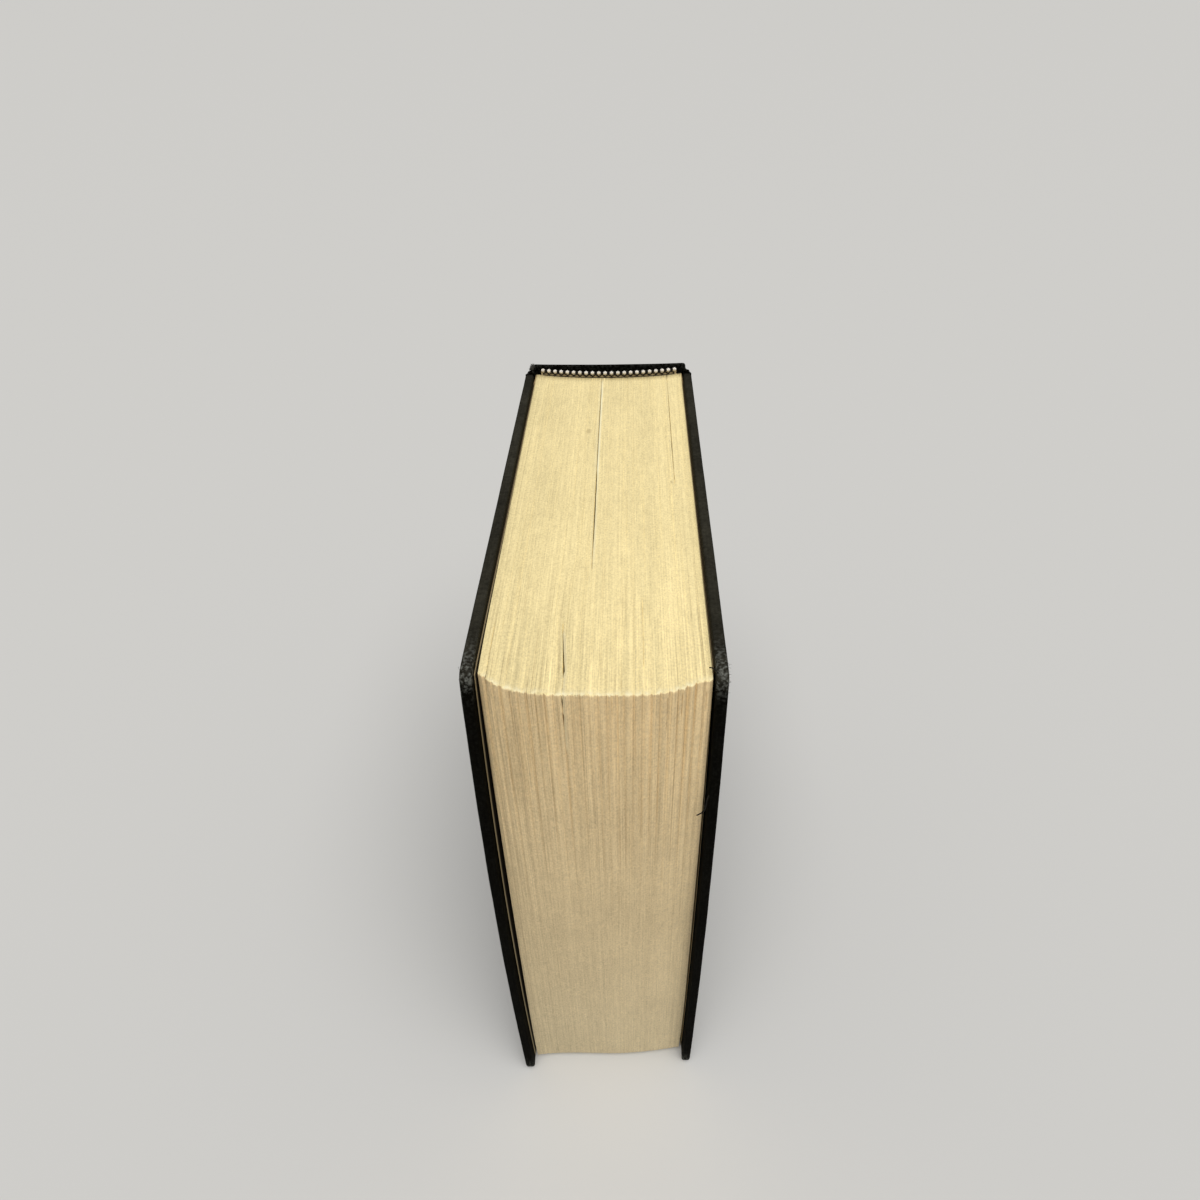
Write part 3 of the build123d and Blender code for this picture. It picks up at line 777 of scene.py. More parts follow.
rings, split, rim, lip_highlight = block_rings()
ring_size = rings.shape[1]
left_side, right_side = side_rows(rings[0]), side_rows(rings[-1])
side_count = left_side.shape[0] * left_side.shape[1]
points = np.vstack([rings.reshape(-1, 3), left_side.reshape(-1, 3), right_side.reshape(-1, 3)])
faces = [quad[::-1] for quad in grid_faces(columns, ring_size, ring=True)]
faces += side_faces(0, ring_size, columns * ring_size, flip=False)
faces += side_faces((columns - 1) * ring_size, ring_size, columns * ring_size + side_count, flip=True)
pages = make_piece("pages", settle_leaves(points), faces, page_edges)
plain = np.zeros(2 * side_count)
for label, values in (("split", split), ("rim", rim), ("lip_highlight", lip_highlight)):
    mark(pages, label, np.concatenate([values.ravel(), plain]))
mark(pages, "tone", np.concatenate([np.repeat(group_tone, ring_size), plain + 0.5]))
mark(pages, "fold", np.concatenate([np.repeat(np.maximum(fold_depth, 0), ring_size), plain]))
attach(pages, "book_block")
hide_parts("text_block")

# %% [markdown]
# ## The covers
#
# A cover is a board with cloth pasted round it. The mesh is a stack of closed outlines: from the flat
# outside, round the edge, to the turned-in cloth on the inside, and down onto the board where the endpaper
# hides it. Each outline is the cover's side view drawn in by some inset, except at the joint, where the
# cloth runs on. The edges wander slightly, and the two corners at the fore-edge are bumped and rubbed.

# %% Outline of a cover
CORNER_RADIUS, EDGE_RADIUS, TURN_IN = 3.0, 0.8, 15.0
EDGE_STEP = 3.0  # spacing of points along an edge
CASE_BACK = BOARD_BACK + 0.05


def cover_outline(inset, creep=0.0):
    """Closed outline of a cover as Y and Z, drawn in on three sides and crept forward at the tail."""
    radius = max(CORNER_RADIUS - inset, 0.3)
    front, low, high = COVER_FRONT + inset, inset, HEIGHT - inset
    along = np.linspace(0, 1, int((CASE_BACK - COVER_FRONT) / EDGE_STEP))[:, None]
    up = np.linspace(0, 1, int(HEIGHT / EDGE_STEP))[1:-1, None]
    turn = np.radians(np.linspace(0, 90, 9))[1:-1]
    arc = np.stack([-np.sin(turn), -np.cos(turn)], -1) * radius

    def line(start, end, share):
        return np.array(start) * (1 - share) + np.array(end) * share

    tail = line((CASE_BACK, low), (front + radius, low), along)
    tail_corner = np.array([front + radius, low + radius]) + arc
    fore = line((front, low + radius), (front, high - radius), up)
    head_corner = np.array([front + radius, high - radius]) + arc[::-1] * (1, -1)
    head = line((front + radius, high), (CASE_BACK, high), along)
    joint = line((CASE_BACK, high), (CASE_BACK, low), up)
    outline = np.vstack([tail, tail_corner, fore, head_corner, head, joint])
    towards_front = (CASE_BACK - outline[:, 0]) / (CASE_BACK - front)
    outline[:, 0] -= creep * towards_front * (1 - outline[:, 1] / HEIGHT)
    return outline


def cover_bow(bow, y, z):
    """How far a cover has bowed outwards at that place: none at the joint, the head and the tail."""
    halfway = 1 - (2 * z / HEIGHT - 1) ** 2
    return bow * halfway * (CASE_BACK - y) / (CASE_BACK - COVER_FRONT)


print(f"{len(cover_outline(0))} points round a cover")

# %% [markdown]
# The stack of outlines is a list of insets and depths through the cover. A quarter circle gives the rolled
# edges. On both faces the outlines shrink almost to a line, because a single large face couldn't follow the
# bow of the cover. The board inside is a shorter stack, drawn in by the cloth's thickness, so that its
# corners are bumped with the cloth's. Mirroring the list of points in X makes the front cover, and its faces
# are then listed the other way round, so that they still point outwards.

# %% Cloth and boards of the covers
WANDER = 0.09  # how far the edges stray
BUMP_DEPTH = 0.7  # how far the worn corners are pushed in
BUMP_REACH, WORN_REACH, WORN_STRETCH = 5, 5.5, 1.6  # from the corner, and longer along the head
LIGHT_HEAD_RIM = 6  # width of the lighter head edge
SHRINKING = (22.0, 38.0, 56.0, 74.0, 94.0, 114.0)  # insets of the outlines that fill a face
FACE_FADE = 0.4  # how far the broad sides have faded


def cloth_levels():
    """Inset and distance from the middle of the book for each outline of the cloth, from the outside in."""
    roll = np.radians(np.linspace(0, 90, 7))
    outer = [(EDGE_RADIUS * (1 - np.sin(a)), COVER_OUTSIDE - EDGE_RADIUS * (1 - np.cos(a))) for a in roll]
    inner = [(EDGE_RADIUS * (1 - np.cos(a)), TURN_IN_FACE + EDGE_RADIUS * (1 - np.sin(a))) for a in roll]
    flat = [(inset, COVER_OUTSIDE) for inset in (*SHRINKING[::-1], 6.0, 2.2)]
    inside = [(3.0, TURN_IN_FACE), (TURN_IN, TURN_IN_FACE)]
    inside += [(inset, BOARD_INSIDE + 0.02) for inset in (TURN_IN, *SHRINKING)]
    return flat + outer + inner + inside


def board_levels():
    """The same for the board, a little inside the cloth."""
    outside, inside = COVER_OUTSIDE - CLOTH - 0.05, BOARD_INSIDE + 0.05
    edge = CLOTH + 0.2
    rim = [(edge + 0.4, outside), (edge, outside - 0.4), (edge, inside + 0.4), (edge + 0.4, inside)]
    faces = (*SHRINKING[::-1], 6.0), (6.0, *SHRINKING)
    return [(inset, outside) for inset in faces[0]] + rim + [(inset, inside) for inset in faces[1]]


def cover_points(stack, seed, creep, bow):
    """Points of a cover at +X, level by level, and how rubbed and how much lighter each one is."""
    levels, rubbed, lightened = [], [], []
    for inset, depth in stack:
        outline = cover_outline(inset, creep)
        at_edge = max(0.0, 1 - inset / 4)
        stray = np.array([noise.noise((seed, 0.06 * y, 0.06 * z)) for y, z in outline])
        crumple = np.array([noise.noise((seed + 4, 0.5 * y, 0.5 * z)) for y, z in outline])
        front = COVER_FRONT - creep * (1 - outline[:, 1] / HEIGHT)
        to_end = np.minimum(outline[:, 1], HEIGHT - outline[:, 1])
        to_corner = np.hypot(outline[:, 0] - front, to_end)
        bumped = np.exp(-((to_corner / BUMP_REACH) ** 2)) * at_edge
        free = ease(0, 12, CASE_BACK - outline[:, 0])
        x = depth + at_edge * free * (WANDER * stray + 0.25 * bumped * crumple)
        y = outline[:, 0] + bumped * BUMP_DEPTH * (0.5 + 0.6 * crumple)
        towards_middle = np.sign(HEIGHT / 2 - outline[:, 1])
        z = outline[:, 1] + towards_middle * bumped * BUMP_DEPTH * (0.4 + 0.5 * crumple)
        x = np.minimum(x, COVER_OUTSIDE) + cover_bow(bow, y, z)
        levels.append(np.stack([x, y, np.clip(z, 0, HEIGHT)], -1))
        at_head = ease(LIGHT_HEAD_RIM, 0, HEIGHT - outline[:, 1])
        to_worn = np.hypot((outline[:, 0] - front) / WORN_STRETCH, to_end)
        rubbed.append(np.clip(at_edge * (0.02 + 0.98 * np.exp(-((to_worn / WORN_REACH) ** 2))), 0, 1))
        on_face = ease(EDGE_RADIUS, 6, inset) if depth == COVER_OUTSIDE else 0.0
        # The head edge and the broad sides are lighter
        lightened.append(np.clip(at_edge * at_head * (0.8 + 0.4 * stray) + FACE_FADE * on_face, 0, 1))
    return [np.concatenate(values) for values in (levels, rubbed, lightened)]


def make_stack(name, side, stack, finish, *shape):
    """Closed piece from a stack of outlines. side is -1 at the front cover and 1 at the back cover."""
    points, rubbed, lightened = cover_points(stack, *shape)
    around = len(points) // len(stack)
    faces = grid_faces(len(stack), around, ring=True)
    faces += [tuple(range(around))[::-1], tuple(range(len(points) - around, len(points)))]
    if side < 0:
        faces = [face[::-1] for face in faces]
    piece = make_piece(name, points * (side, 1, 1), faces, finish)
    mark(piece, "rubbed", rubbed)
    mark(piece, "lightened", lightened)
    return piece


def make_cover(side, body, *shape):
    """Cloth and board of one cover."""
    cover = make_stack(f"{body}_case", side, cloth_levels(), book_cloth, *shape)
    board = make_stack(f"{body}_core", side, board_levels(), grey_board, *shape)
    board_node = body.replace("cover", "board")
    for piece, node, slot in ((cover, f"{body}_cloth", "cloth"), (board, board_node, "board")):
        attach(piece, body)
        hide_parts(node)


make_cover(-1, "front_cover", 3.0, FRONT_COVER_CREEP, FRONT_BOW)
make_cover(1, "back_cover", 8.0, 0.0, BACK_BOW)

# %% [markdown]
# ## The spine and the joints
#
# The spine is cloth over a strip of card, with a hollow behind it. Its section is drawn once, from the
# groove of one joint round to the other, as points with the direction that faces outwards. The cloth then
# follows a path up the outside and turns in at the tail and the head. Solidify gives it its thickness.

# %% Section of the spine
SPINE_CORNER, SPINE_SINK = 1.6, 0.8
SHOULDER_Y = HINGE_Y + 2.1
SPINE_SIDE = SPINE_HIGH[0]
SPINE_BACK = SPINE_HIGH[1]


def spine_section():
    """Points and outward directions round the spine, from the front joint to the back joint."""
    wall_y = np.linspace(SHOULDER_Y, SPINE_BACK - SPINE_CORNER, 5)
    turn = np.radians(np.linspace(0, 90, 8))
    panel_x = np.linspace(SPINE_SIDE - SPINE_CORNER, 0, 16)
    wall = np.stack([np.full_like(wall_y, SPINE_SIDE), wall_y], -1)
    centre = np.array([SPINE_SIDE - SPINE_CORNER, SPINE_BACK - SPINE_CORNER])
    corner = centre + SPINE_CORNER * np.stack([np.cos(turn), np.sin(turn)], -1)
    sink = SPINE_SINK * (1 - (panel_x / panel_x[0]) ** 2)
    panel = np.stack([panel_x, SPINE_BACK - sink], -1)
    half = np.vstack([wall, corner[1:], panel[1:]])
    points = np.vstack([half * (-1, 1), half[-2::-1]])
    along = np.gradient(points, axis=0)
    outwards = np.stack([-along[:, 1], along[:, 0]], -1)
    return points, outwards / np.linalg.norm(outwards, axis=1, keepdims=True)


section, outwards = spine_section()
print(f"{len(section)} points across the spine")

# %% [markdown]
# The path up the spine is the same for every point of the section: in at the tail, round the edge, up,
# round the edge and in at the head. Only the depth of the turn-in differs, because the card fills it across
# the panel but not at the walls. The head edge is a little rubbed, and its corners more so.

# %% Cloth of the spine
SPINE_TURN_IN, SPINE_ROLL = 15.0, 0.5
SPINE_RUB, SPINE_CORNER_RUB, SPINE_CORNER_WIDTH = 0.18, 0.05, 3


def spine_path():
    """Share of the turn-in's depth, and height, along the cloth from the tail to the head."""
    roll = np.linspace(0, np.pi, 9)[1:-1]
    edge = CLOTH / 2 + 0.05
    lower = [(0.5 + 0.5 * np.cos(a), edge + SPINE_ROLL * (1 - np.sin(a))) for a in roll]
    heights = np.linspace(edge + SPINE_ROLL, HEIGHT - edge - SPINE_ROLL, 40)
    tail_end = [(1.0, SPINE_TURN_IN), (1.0, 6.0), (1.0, edge + SPINE_ROLL)]
    outside = [(0.0, z) for z in heights]
    upper = [(depth, HEIGHT - z) for depth, z in lower[::-1]]
    head_end = [(depth, HEIGHT - z) for depth, z in tail_end[::-1]]
    return np.array(tail_end + lower + outside + upper + head_end)


def make_spine():
    path = spine_path()
    panel_share = 1 - ease(0.93, 1.0, np.abs(section[:, 0]) / SPINE_SIDE)
    turn_depth = CLOTH + 0.1 + panel_share * (INLAY_HIGH[1] - INLAY_LOW[1] - SPINE_SINK)
    points, rubbed, lightened = [], [], []
    for (x, y), (out_x, out_y), depth in zip(section, outwards, turn_depth):
        for share, z in path:
            stray = 0.06 * noise.noise((0.08 * x, 0.08 * y, 0.05 * z))
            inwards = CLOTH / 2 + share * depth - stray
            points.append((x - out_x * inwards, y - out_y * inwards, z))
            to_end = min(z, HEIGHT - z)
            corner = abs(x) > SPINE_SIDE - SPINE_CORNER_WIDTH
            end_rub = SPINE_RUB * np.exp(-to_end / 1.8)
            rubbed.append(end_rub * 1.5 + SPINE_CORNER_RUB if corner else end_rub * 0.7)
            lightened.append(FACE_FADE * (1 - share) * ease(1, 7, to_end))
    faces = [face[::-1] for face in grid_faces(len(section), len(path))]
    spine = make_piece("spine_case", points, faces, book_cloth)
    mark(spine, "rubbed", rubbed)
    mark(spine, "lightened", lightened)
    wall = spine.modifiers.new("cloth", "SOLIDIFY")
    wall.thickness, wall.offset = CLOTH * MM, 0
    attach(spine, "book_block")
    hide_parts("spine_cloth")


make_spine()

# %% [markdown]
# Between the board and the spine the cloth dips into a groove, and that is where the cover bends. A strip
# of cloth fills the groove, and a strip of endpaper crosses the joint on the inside. Each strip is a short
# curve in plan, given a thickness and drawn up to the height of the book. At head and tail the groove is
# shallower.


# %% Strips across the joints
def bezier(*handles, count=10):
    """Points along a cubic curve through its first and last handle."""
    share = np.linspace(0, 1, count)[:, None]
    first, second, third, fourth = (np.array(handle, float) for handle in handles)
    near = (1 - share) ** 3 * first + 3 * (1 - share) ** 2 * share * second
    return near + 3 * (1 - share) * share**2 * third + share**3 * fourth


def strip_loop(path, thickness):
    """Closed loop round a path in plan, as thick as that on its inner side."""
    along = np.gradient(path, axis=0)
    inwards = np.stack([-along[:, 1], along[:, 0]], -1)
    inwards /= np.linalg.norm(inwards, axis=1, keepdims=True)
    return np.vstack([path, (path + inwards * thickness)[::-1]])


def make_joint_strip(name, side, body, path, end_path, thickness, low, high, finish):
    """Strip from the cover to the spine along a path in plan, which changes to another near head and tail."""
    heights = (low + high) / 2 - (high - low) / 2 * np.cos(np.linspace(0, np.pi, 36))
    loops = strip_loop(path, thickness), strip_loop(end_path, thickness)
    points, size = [], len(loops[0])
    for z in heights:
        share = np.exp(-min(z - low, high - z) / GROOVE_END)
        loop = loops[0] * (1 - share) + loops[1] * share
        points += [(side * x, y, z) for x, y in loop]
    last = (len(heights) - 1) * size
    faces = grid_faces(len(heights), size, ring=True)
    faces += [tuple(range(size))[::-1], tuple(range(last, last + size))]
    if side < 0:
        faces = [face[::-1] for face in faces]
    strip = make_piece(name, points, faces, finish)
    if finish is book_cloth:
        to_end = [min(z, HEIGHT - z) for x, y, z in points]
        raised = [np.clip((abs(x) - VALLEY_X) / (COVER_OUTSIDE - VALLEY_X), 0.2, 1) for x, y, z in points]
        mark(strip, "rubbed", 0.2 * np.exp(-np.array(to_end) / 2))
        mark(strip, "lightened", FACE_FADE * np.array(raised) * ease(1, 7, to_end))
    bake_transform(strip)
    return strip


GROOVE_RADIUS, END_GROOVE_RISE = 2.4, 2.5
GUTTER_PAPER = 0.06
GROOVE_END = 7  # distance from head and tail over which the groove gets shallower
VALLEY_X = HINGE_X - GROOVE_RADIUS  # outside of the cloth at the bottom of the groove
PAPER = LEAF_HIGH[0] - LEAF_LOW[0]


def groove_path(valley):
    """Outside of the cloth from the board down to the valley of the groove and up to the spine."""
    board_edge, bottom, shoulder = (COVER_OUTSIDE, CASE_BACK), (valley, HINGE_Y), (SPINE_SIDE, SHOULDER_Y)
    down = bezier(board_edge, (COVER_OUTSIDE, CASE_BACK + 1.3), (valley, HINGE_Y - 2.2), bottom)
    up = bezier(bottom, (valley, HINGE_Y + 1.3), (SPINE_SIDE, SHOULDER_Y - 1.2), shoulder)
    return np.vstack([down, up[1:]])


pasted_x, gutter_x = PASTE_LOW[0] - 0.01, LEAF_HIGH[0] + 0.09
pasted_end, leaf_end = (pasted_x, CASE_BACK - 2), (gutter_x, BACK_Y - 0.5)
gutter = bezier(pasted_end, (pasted_x, CASE_BACK), (gutter_x, CASE_BACK), leaf_end, count=16)
grooves = groove_path(VALLEY_X), groove_path(VALLEY_X + END_GROOVE_RISE)
for side, body in ((-1, "front_cover"), (1, "back_cover")):
    cloth_strip = make_joint_strip(f"{body}_joint", side, body, *grooves, CLOTH, 0, HEIGHT, book_cloth)
    paper_strip = make_joint_strip(
        f"{body}_gutter", side, body, gutter, gutter, GUTTER_PAPER, TAIL_Z, HEAD_Z, endpaper
    )

# %% [markdown]
# ## The flyleaves
#
# The flyleaf is the free half of each endpaper. At the front it has stayed by the bowed board, and its edge
# shows as a thin pale line with a dark gap between it and the pages. At the back it has stayed by the
# pages. A sheet of points that takes its share of the cover's bow, and Solidify, are enough. The side that
# faces the pages is only ever seen down that gap, so it gets a material of its own, with the gap's shade
# painted on it except along the edge, and the cut edge is browned.


# %% Flyleaves
def make_flyleaf(side, name, seed, tail_front, creep, bow, lift):
    """Sheet of paper that bows by that much and stands that far off its place in the CAD model."""
    across = np.concatenate([[0, 0.004, 0.008, 0.014], np.linspace(0.03, 1, 56)])
    heights = LEAF_LOW[2] + (LEAF_HIGH[2] - LEAF_LOW[2]) * (1 - across[::-1])
    middle = (LEAF_LOW[0] + LEAF_HIGH[0]) / 2
    points, hidden_shade = [], []
    for z in heights:
        front = tail_front + creep * (z - TAIL_Z) / (HEAD_Z - TAIL_Z)
        for y in front + across * (LEAF_HIGH[1] - front):
            free = ease(0, 40, LEAF_HIGH[1] - y)
            wave = 0.04 * noise.noise((seed, 0.03 * y, 0.04 * z)) + lift * (0.3 + 0.7 * ease(-20, -60, y))
            points.append((side * (middle + free * wave + max(cover_bow(bow, y, z), 0)), y, z))
            # How deep the painted shade of the gap beside the pages is, away from the paper's edges
            hidden_shade.append(ease(0.3, 1.6, min(y - front, LEAF_HIGH[2] - z)))
    faces = grid_faces(len(heights), len(across))
    faces = faces if side < 0 else [face[::-1] for face in faces]
    # The first material, with painted shade, is for the side that faces the pages
    sheet = make_piece(name, points, faces, flyleaf_shaded_inside, endpaper, flyleaf_edge)
    mark(sheet, "hidden_shade", hidden_shade)
    wall = sheet.modifiers.new("paper", "SOLIDIFY")
    wall.thickness, wall.offset = PAPER * MM, 0
    wall.material_offset, wall.material_offset_rim = 1, 2
    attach(sheet, "book_block")
    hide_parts(name.replace("_sheet", ""))


front_leaf = FRONT_LEAF_LOW[1], FRONT_LEAF_CREEP, FRONT_BOW
make_flyleaf(-1, "front_flyleaf_sheet", 1.0, *front_leaf, lift=0.25)
make_flyleaf(1, "back_flyleaf_sheet", 6.0, LEAF_LOW[1], creep=0.0, bow=0.45, lift=0.05)

# %% [markdown]
# ## The head and tail bands
#
# A band is a strip of tape with a roll along its edge, and thread is wrapped over the roll in two colours:
# a few turns of white, which bulge like beads, then a few of black. Wraps that repeat along a curve are
# what Geometry Nodes do best. The tree takes the line of the roll, spaces points along it and puts a bundle
# of thread rings on each, white and black by turns. It ends in Realize Instances and Set Material, so that
# the result is an ordinary mesh.


# %% Node tree of the wrapped roll
def new_tree(name, **inputs):
    """New geometry tree with named inputs, and a wire from each of them."""
    tree = bpy.data.node_groups.new(name, "GeometryNodeTree")
    tree.interface.new_socket("Geometry", in_out="OUTPUT", socket_type="NodeSocketGeometry")
    for label, kind in {"Line": "Geometry", **inputs}.items():
        tree.interface.new_socket(label, in_out="INPUT", socket_type=f"NodeSocket{kind}")
    start = add_node(tree, "NodeGroupInput")
    return tree, {label: Wire(start, label) for label in ("Line", *inputs)}


def end_tree(geometry):
    """Leads a wire to its tree's output."""
    feed(add_node(geometry.tree, "NodeGroupOutput"), {0: geometry})
    return geometry.tree


def spaced_points(given, count):
    """The given line with so many points."""
    curve = add_wire(count.tree, "GeometryNodeMeshToCurve", {"Mesh": given["Line"]})
    return add_wire(count.tree, "GeometryNodeResampleCurve", {"Curve": curve, "Count": count})


def circle(tree, radius, sides):
    """Circle round Z, of so many sides."""
    return add_wire(tree, "GeometryNodeCurvePrimitiveCircle", {"Resolution": sides, "Radius": radius})


def swept(curve, radius, sides):
    """Tube along a curve."""
    feeds = {"Curve": curve, "Profile Curve": circle(curve.tree, radius, sides), "Fill Caps": True}
    return add_wire(curve.tree, "GeometryNodeCurveToMesh", feeds)


def placed(points, instance, **feeds):
    """A copy of an instance on each point."""
    feeds |= {"Points": points, "Instance": instance}
    return add_wire(points.tree, "GeometryNodeInstanceOnPoints", feeds)


def shifted(points, vector, scale):
    """Points moved along a vector times a scale."""
    feeds = {0: vector, "Scale": scale}
    offset = add_wire(points.tree, "ShaderNodeVectorMath", feeds, operation="SCALE")
    return add_wire(points.tree, "GeometryNodeSetPosition", {"Geometry": points, "Offset": offset})


def turned_along(vector):
    """Rotation that takes Z to a vector."""
    return add_wire(vector.tree, "FunctionNodeAlignRotationToVector", {"Vector": vector}, axis="Z")


def dyed(geometry, finish):
    """Real geometry with a material."""
    real = add_wire(geometry.tree, "GeometryNodeRealizeInstances", {"Geometry": geometry})
    return add_wire(geometry.tree, "GeometryNodeSetMaterial", {"Geometry": real, "Material": finish})


def joined(pieces):
    """All the pieces in one."""
    join = add_node(pieces[0].tree, "GeometryNodeJoinGeometry")
    for piece in pieces:
        feed(join, {0: piece})
    return Wire(join)


def smoothed(geometry):
    """The geometry, shaded smooth."""
    return add_wire(geometry.tree, "GeometryNodeSetShadeSmooth", {"Geometry": geometry})


def thread_bundle(radius, thread, bulges):
    """A few rings of thread side by side along Z, each as much wider as its bulge."""
    tree, rings = radius.tree, []
    for number, bulge in enumerate(bulges):
        ring = swept(circle(tree, radius * bulge, 20), thread, 6)
        along = thread * (1.8 * (number - (len(bulges) - 1) / 2))
        offset = add_wire(tree, "ShaderNodeCombineXYZ", {"Z": along})
        rings.append(add_wire(tree, "GeometryNodeTransform", {"Geometry": ring, "Translation": offset}))
    return joined(rings)


def make_roll_tree():
    tree, given = new_tree(
        "wrapped_roll", Wraps="Int", Radius="Float", Thread="Float", Core="Float",
        Light="Material", Dark="Material",
    )
    points = spaced_points(given, given["Wraps"] * 2 - 1)
    odd = add_wire(tree, "GeometryNodeInputIndex") % 2
    turned = turned_along(add_wire(tree, "GeometryNodeInputTangent"))
    parts = []
    for bulges, chosen, finish in (((0.6, 1.0, 0.6), 1 - odd, "Light"), ((0.62, 0.62), odd, "Dark")):
        bundle = thread_bundle(given["Radius"], given["Thread"], bulges)
        parts.append(dyed(placed(points, bundle, Selection=chosen, Rotation=turned), given[finish]))
    parts.append(dyed(swept(points, given["Core"], 12), given["Dark"]))
    return end_tree(smoothed(joined(parts)))


def grow(name, line, tree, **values):
    """Plain mesh object that a geometry tree makes from a line of points in millimetres."""
    mesh = bpy.data.meshes.new(name)
    mesh.from_pydata((np.asarray(line) * MM).tolist(), [(i, i + 1) for i in range(len(line) - 1)], [])
    seed = bpy.data.objects.new(f"{name}_line", mesh)
    bpy.context.scene.collection.objects.link(seed)
    modifier = seed.modifiers.new("grow", "NODES")
    modifier.node_group = tree
    for label, value in values.items():
        modifier[tree.interface.items_tree[label].identifier] = value
    grown = bpy.data.meshes.new_from_object(seed.evaluated_get(bpy.context.evaluated_depsgraph_get()))
    bpy.data.objects.remove(seed)
    piece = bpy.data.objects.new(name, grown)
    bpy.context.scene.collection.objects.link(piece)
    print(f"{name}: {len(grown.polygons)} faces")
    return piece


roll_tree = make_roll_tree()

# %% [markdown]
# Under the beads, a black thread loops below each one, and the cream tape shows between the loops. Another
# short tree makes it: it spaces points along a line, two to a bead, lifts every other one and sweeps a
# thread along the zigzag. A second thread runs straight below the loops, where the tape meets the pages.


# %% Node tree of the looped thread
def make_loop_tree():
    tree, given = new_tree("looped_thread", Corners="Int", Rise="Vector", Thread="Float", Dark="Material")
    points = spaced_points(given, given["Corners"])
    odd = add_wire(tree, "GeometryNodeInputIndex") % 2
    zigzag = shifted(points, given["Rise"], odd.mapped(0.0, 1.0, 0.35, 1.0))
    threads = [swept(path, given["Thread"] * share, 6) for path, share in ((zigzag, 1.0), (points, 0.5))]
    return end_tree(smoothed(dyed(joined(threads), given["Dark"])))


loop_tree = make_loop_tree()

# %% [markdown]
# Each band follows the hollow of the back. The tape is glued to it and stands a little past the edge of the
# pages, where the roll sits. The tail band is the head band's twin, turned towards the floor.

# %% Bands at head and tail
BAND_SIDE_GAP, BAND_RISE, TAPE_LENGTH, TAPE = 2.0, 1.8, 12.0, 0.4
WRAP_RADIUS, CORE_RADIUS, WRAP_PITCH = 0.6, 0.45, 2.65
THREAD, LOOP_THREAD, LOOP_RISE = 0.26, 0.25, 1.3
BAND_POINTS = 41  # points along a band
ROLL_SHORTER = 0.8  # how much shorter than the tape the roll is at each end
# How far behind the back of the pages the tape, the roll and the loops lie
TAPE_BEHIND, ROLL_BEHIND, LOOPS_BEHIND = 0.16, 0.36, -0.2


def band_line(edge_z, offset, z, shorter=0.0):
    """Line across the back, that far behind it, at a height of z."""
    across = np.linspace(-1, 1, BAND_POINTS) * (HALF_PAGES - BAND_SIDE_GAP - shorter)
    return np.stack([across, back_edge(across, edge_z) + offset, np.full_like(across, z)], -1)


def make_tape(name, edge_z, outwards):
    """Strip of tape from the glued end to the roll."""
    near, far = TAPE_BEHIND, TAPE_BEHIND + TAPE
    corners = (near, -TAPE_LENGTH), (near, BAND_RISE), (far, BAND_RISE), (far, -TAPE_LENGTH)
    rows = [band_line(edge_z, behind, edge_z + outwards * height) for behind, height in corners]
    second, third, fourth = BAND_POINTS, 2 * BAND_POINTS, 3 * BAND_POINTS
    faces = grid_faces(4, BAND_POINTS)
    faces += [(fourth + i, fourth + i + 1, i + 1, i) for i in range(BAND_POINTS - 1)]
    faces += [(0, fourth, third, second), (second - 1, third - 1, fourth - 1, 4 * BAND_POINTS - 1)]
    if outwards < 0:
        faces = [face[::-1] for face in faces]
    tape = make_piece(name, np.concatenate(rows), faces, cream_tape)
    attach(tape, "book_block")


def make_band(name, edge_z, outwards):
    roll_z = edge_z + outwards * BAND_RISE
    roll_line = band_line(edge_z, ROLL_BEHIND, roll_z, ROLL_SHORTER)
    length = np.linalg.norm(np.diff(roll_line, axis=0), axis=1).sum()
    wraps = int(length / WRAP_PITCH) + 1
    roll = grow(
        f"{name}_roll", roll_line, roll_tree, Wraps=wraps, Radius=WRAP_RADIUS * MM, Thread=THREAD * MM,
        Core=CORE_RADIUS * MM, Light=white_thread, Dark=black_thread,
    )
    loop_line = band_line(edge_z, LOOPS_BEHIND, edge_z + outwards * 0.08, ROLL_SHORTER)
    loops = grow(
        f"{name}_loops", loop_line, loop_tree, Corners=2 * wraps - 1, Thread=LOOP_THREAD * MM,
        Rise=(0, 0.1 * MM, outwards * LOOP_RISE * MM), Dark=black_thread,
    )
    make_tape(f"{name}_tape", edge_z, outwards)
    for piece in (roll, loops):
        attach(piece, "book_block")
    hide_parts(name)


make_band("head_band", HEAD_Z, 1)
make_band("tail_band", TAIL_Z, -1)

# %% [markdown]
# ## Frayed cloth
#
# At the head, the corners of the covers and one end of the spine have worn through, and the threads of the
# cloth stand out as grey fuzz with a few black strands. One tree grows both: it strews points along a line,
# and on each it puts a short bent fibre, turned and sized at random from a fixed seed. A second tree sweeps
# one thread along a line, for the few long threads that hang loose.


# %% Node trees of the fuzz and of a loose thread
EVERY_WAY = (-1.0, -1.0, -1.0), (1.0, 1.0, 1.0)


def random_value(seed, kind, low, high):
    """Random value of one kind, FLOAT or FLOAT_VECTOR, for each point."""
    first = {"FLOAT_VECTOR": 0, "FLOAT": 2}[kind]
    feeds = {first: low, first + 1: high, "Seed": seed}
    return add_wire(seed.tree, "FunctionNodeRandomValue", feeds, first // 2, data_type=kind)


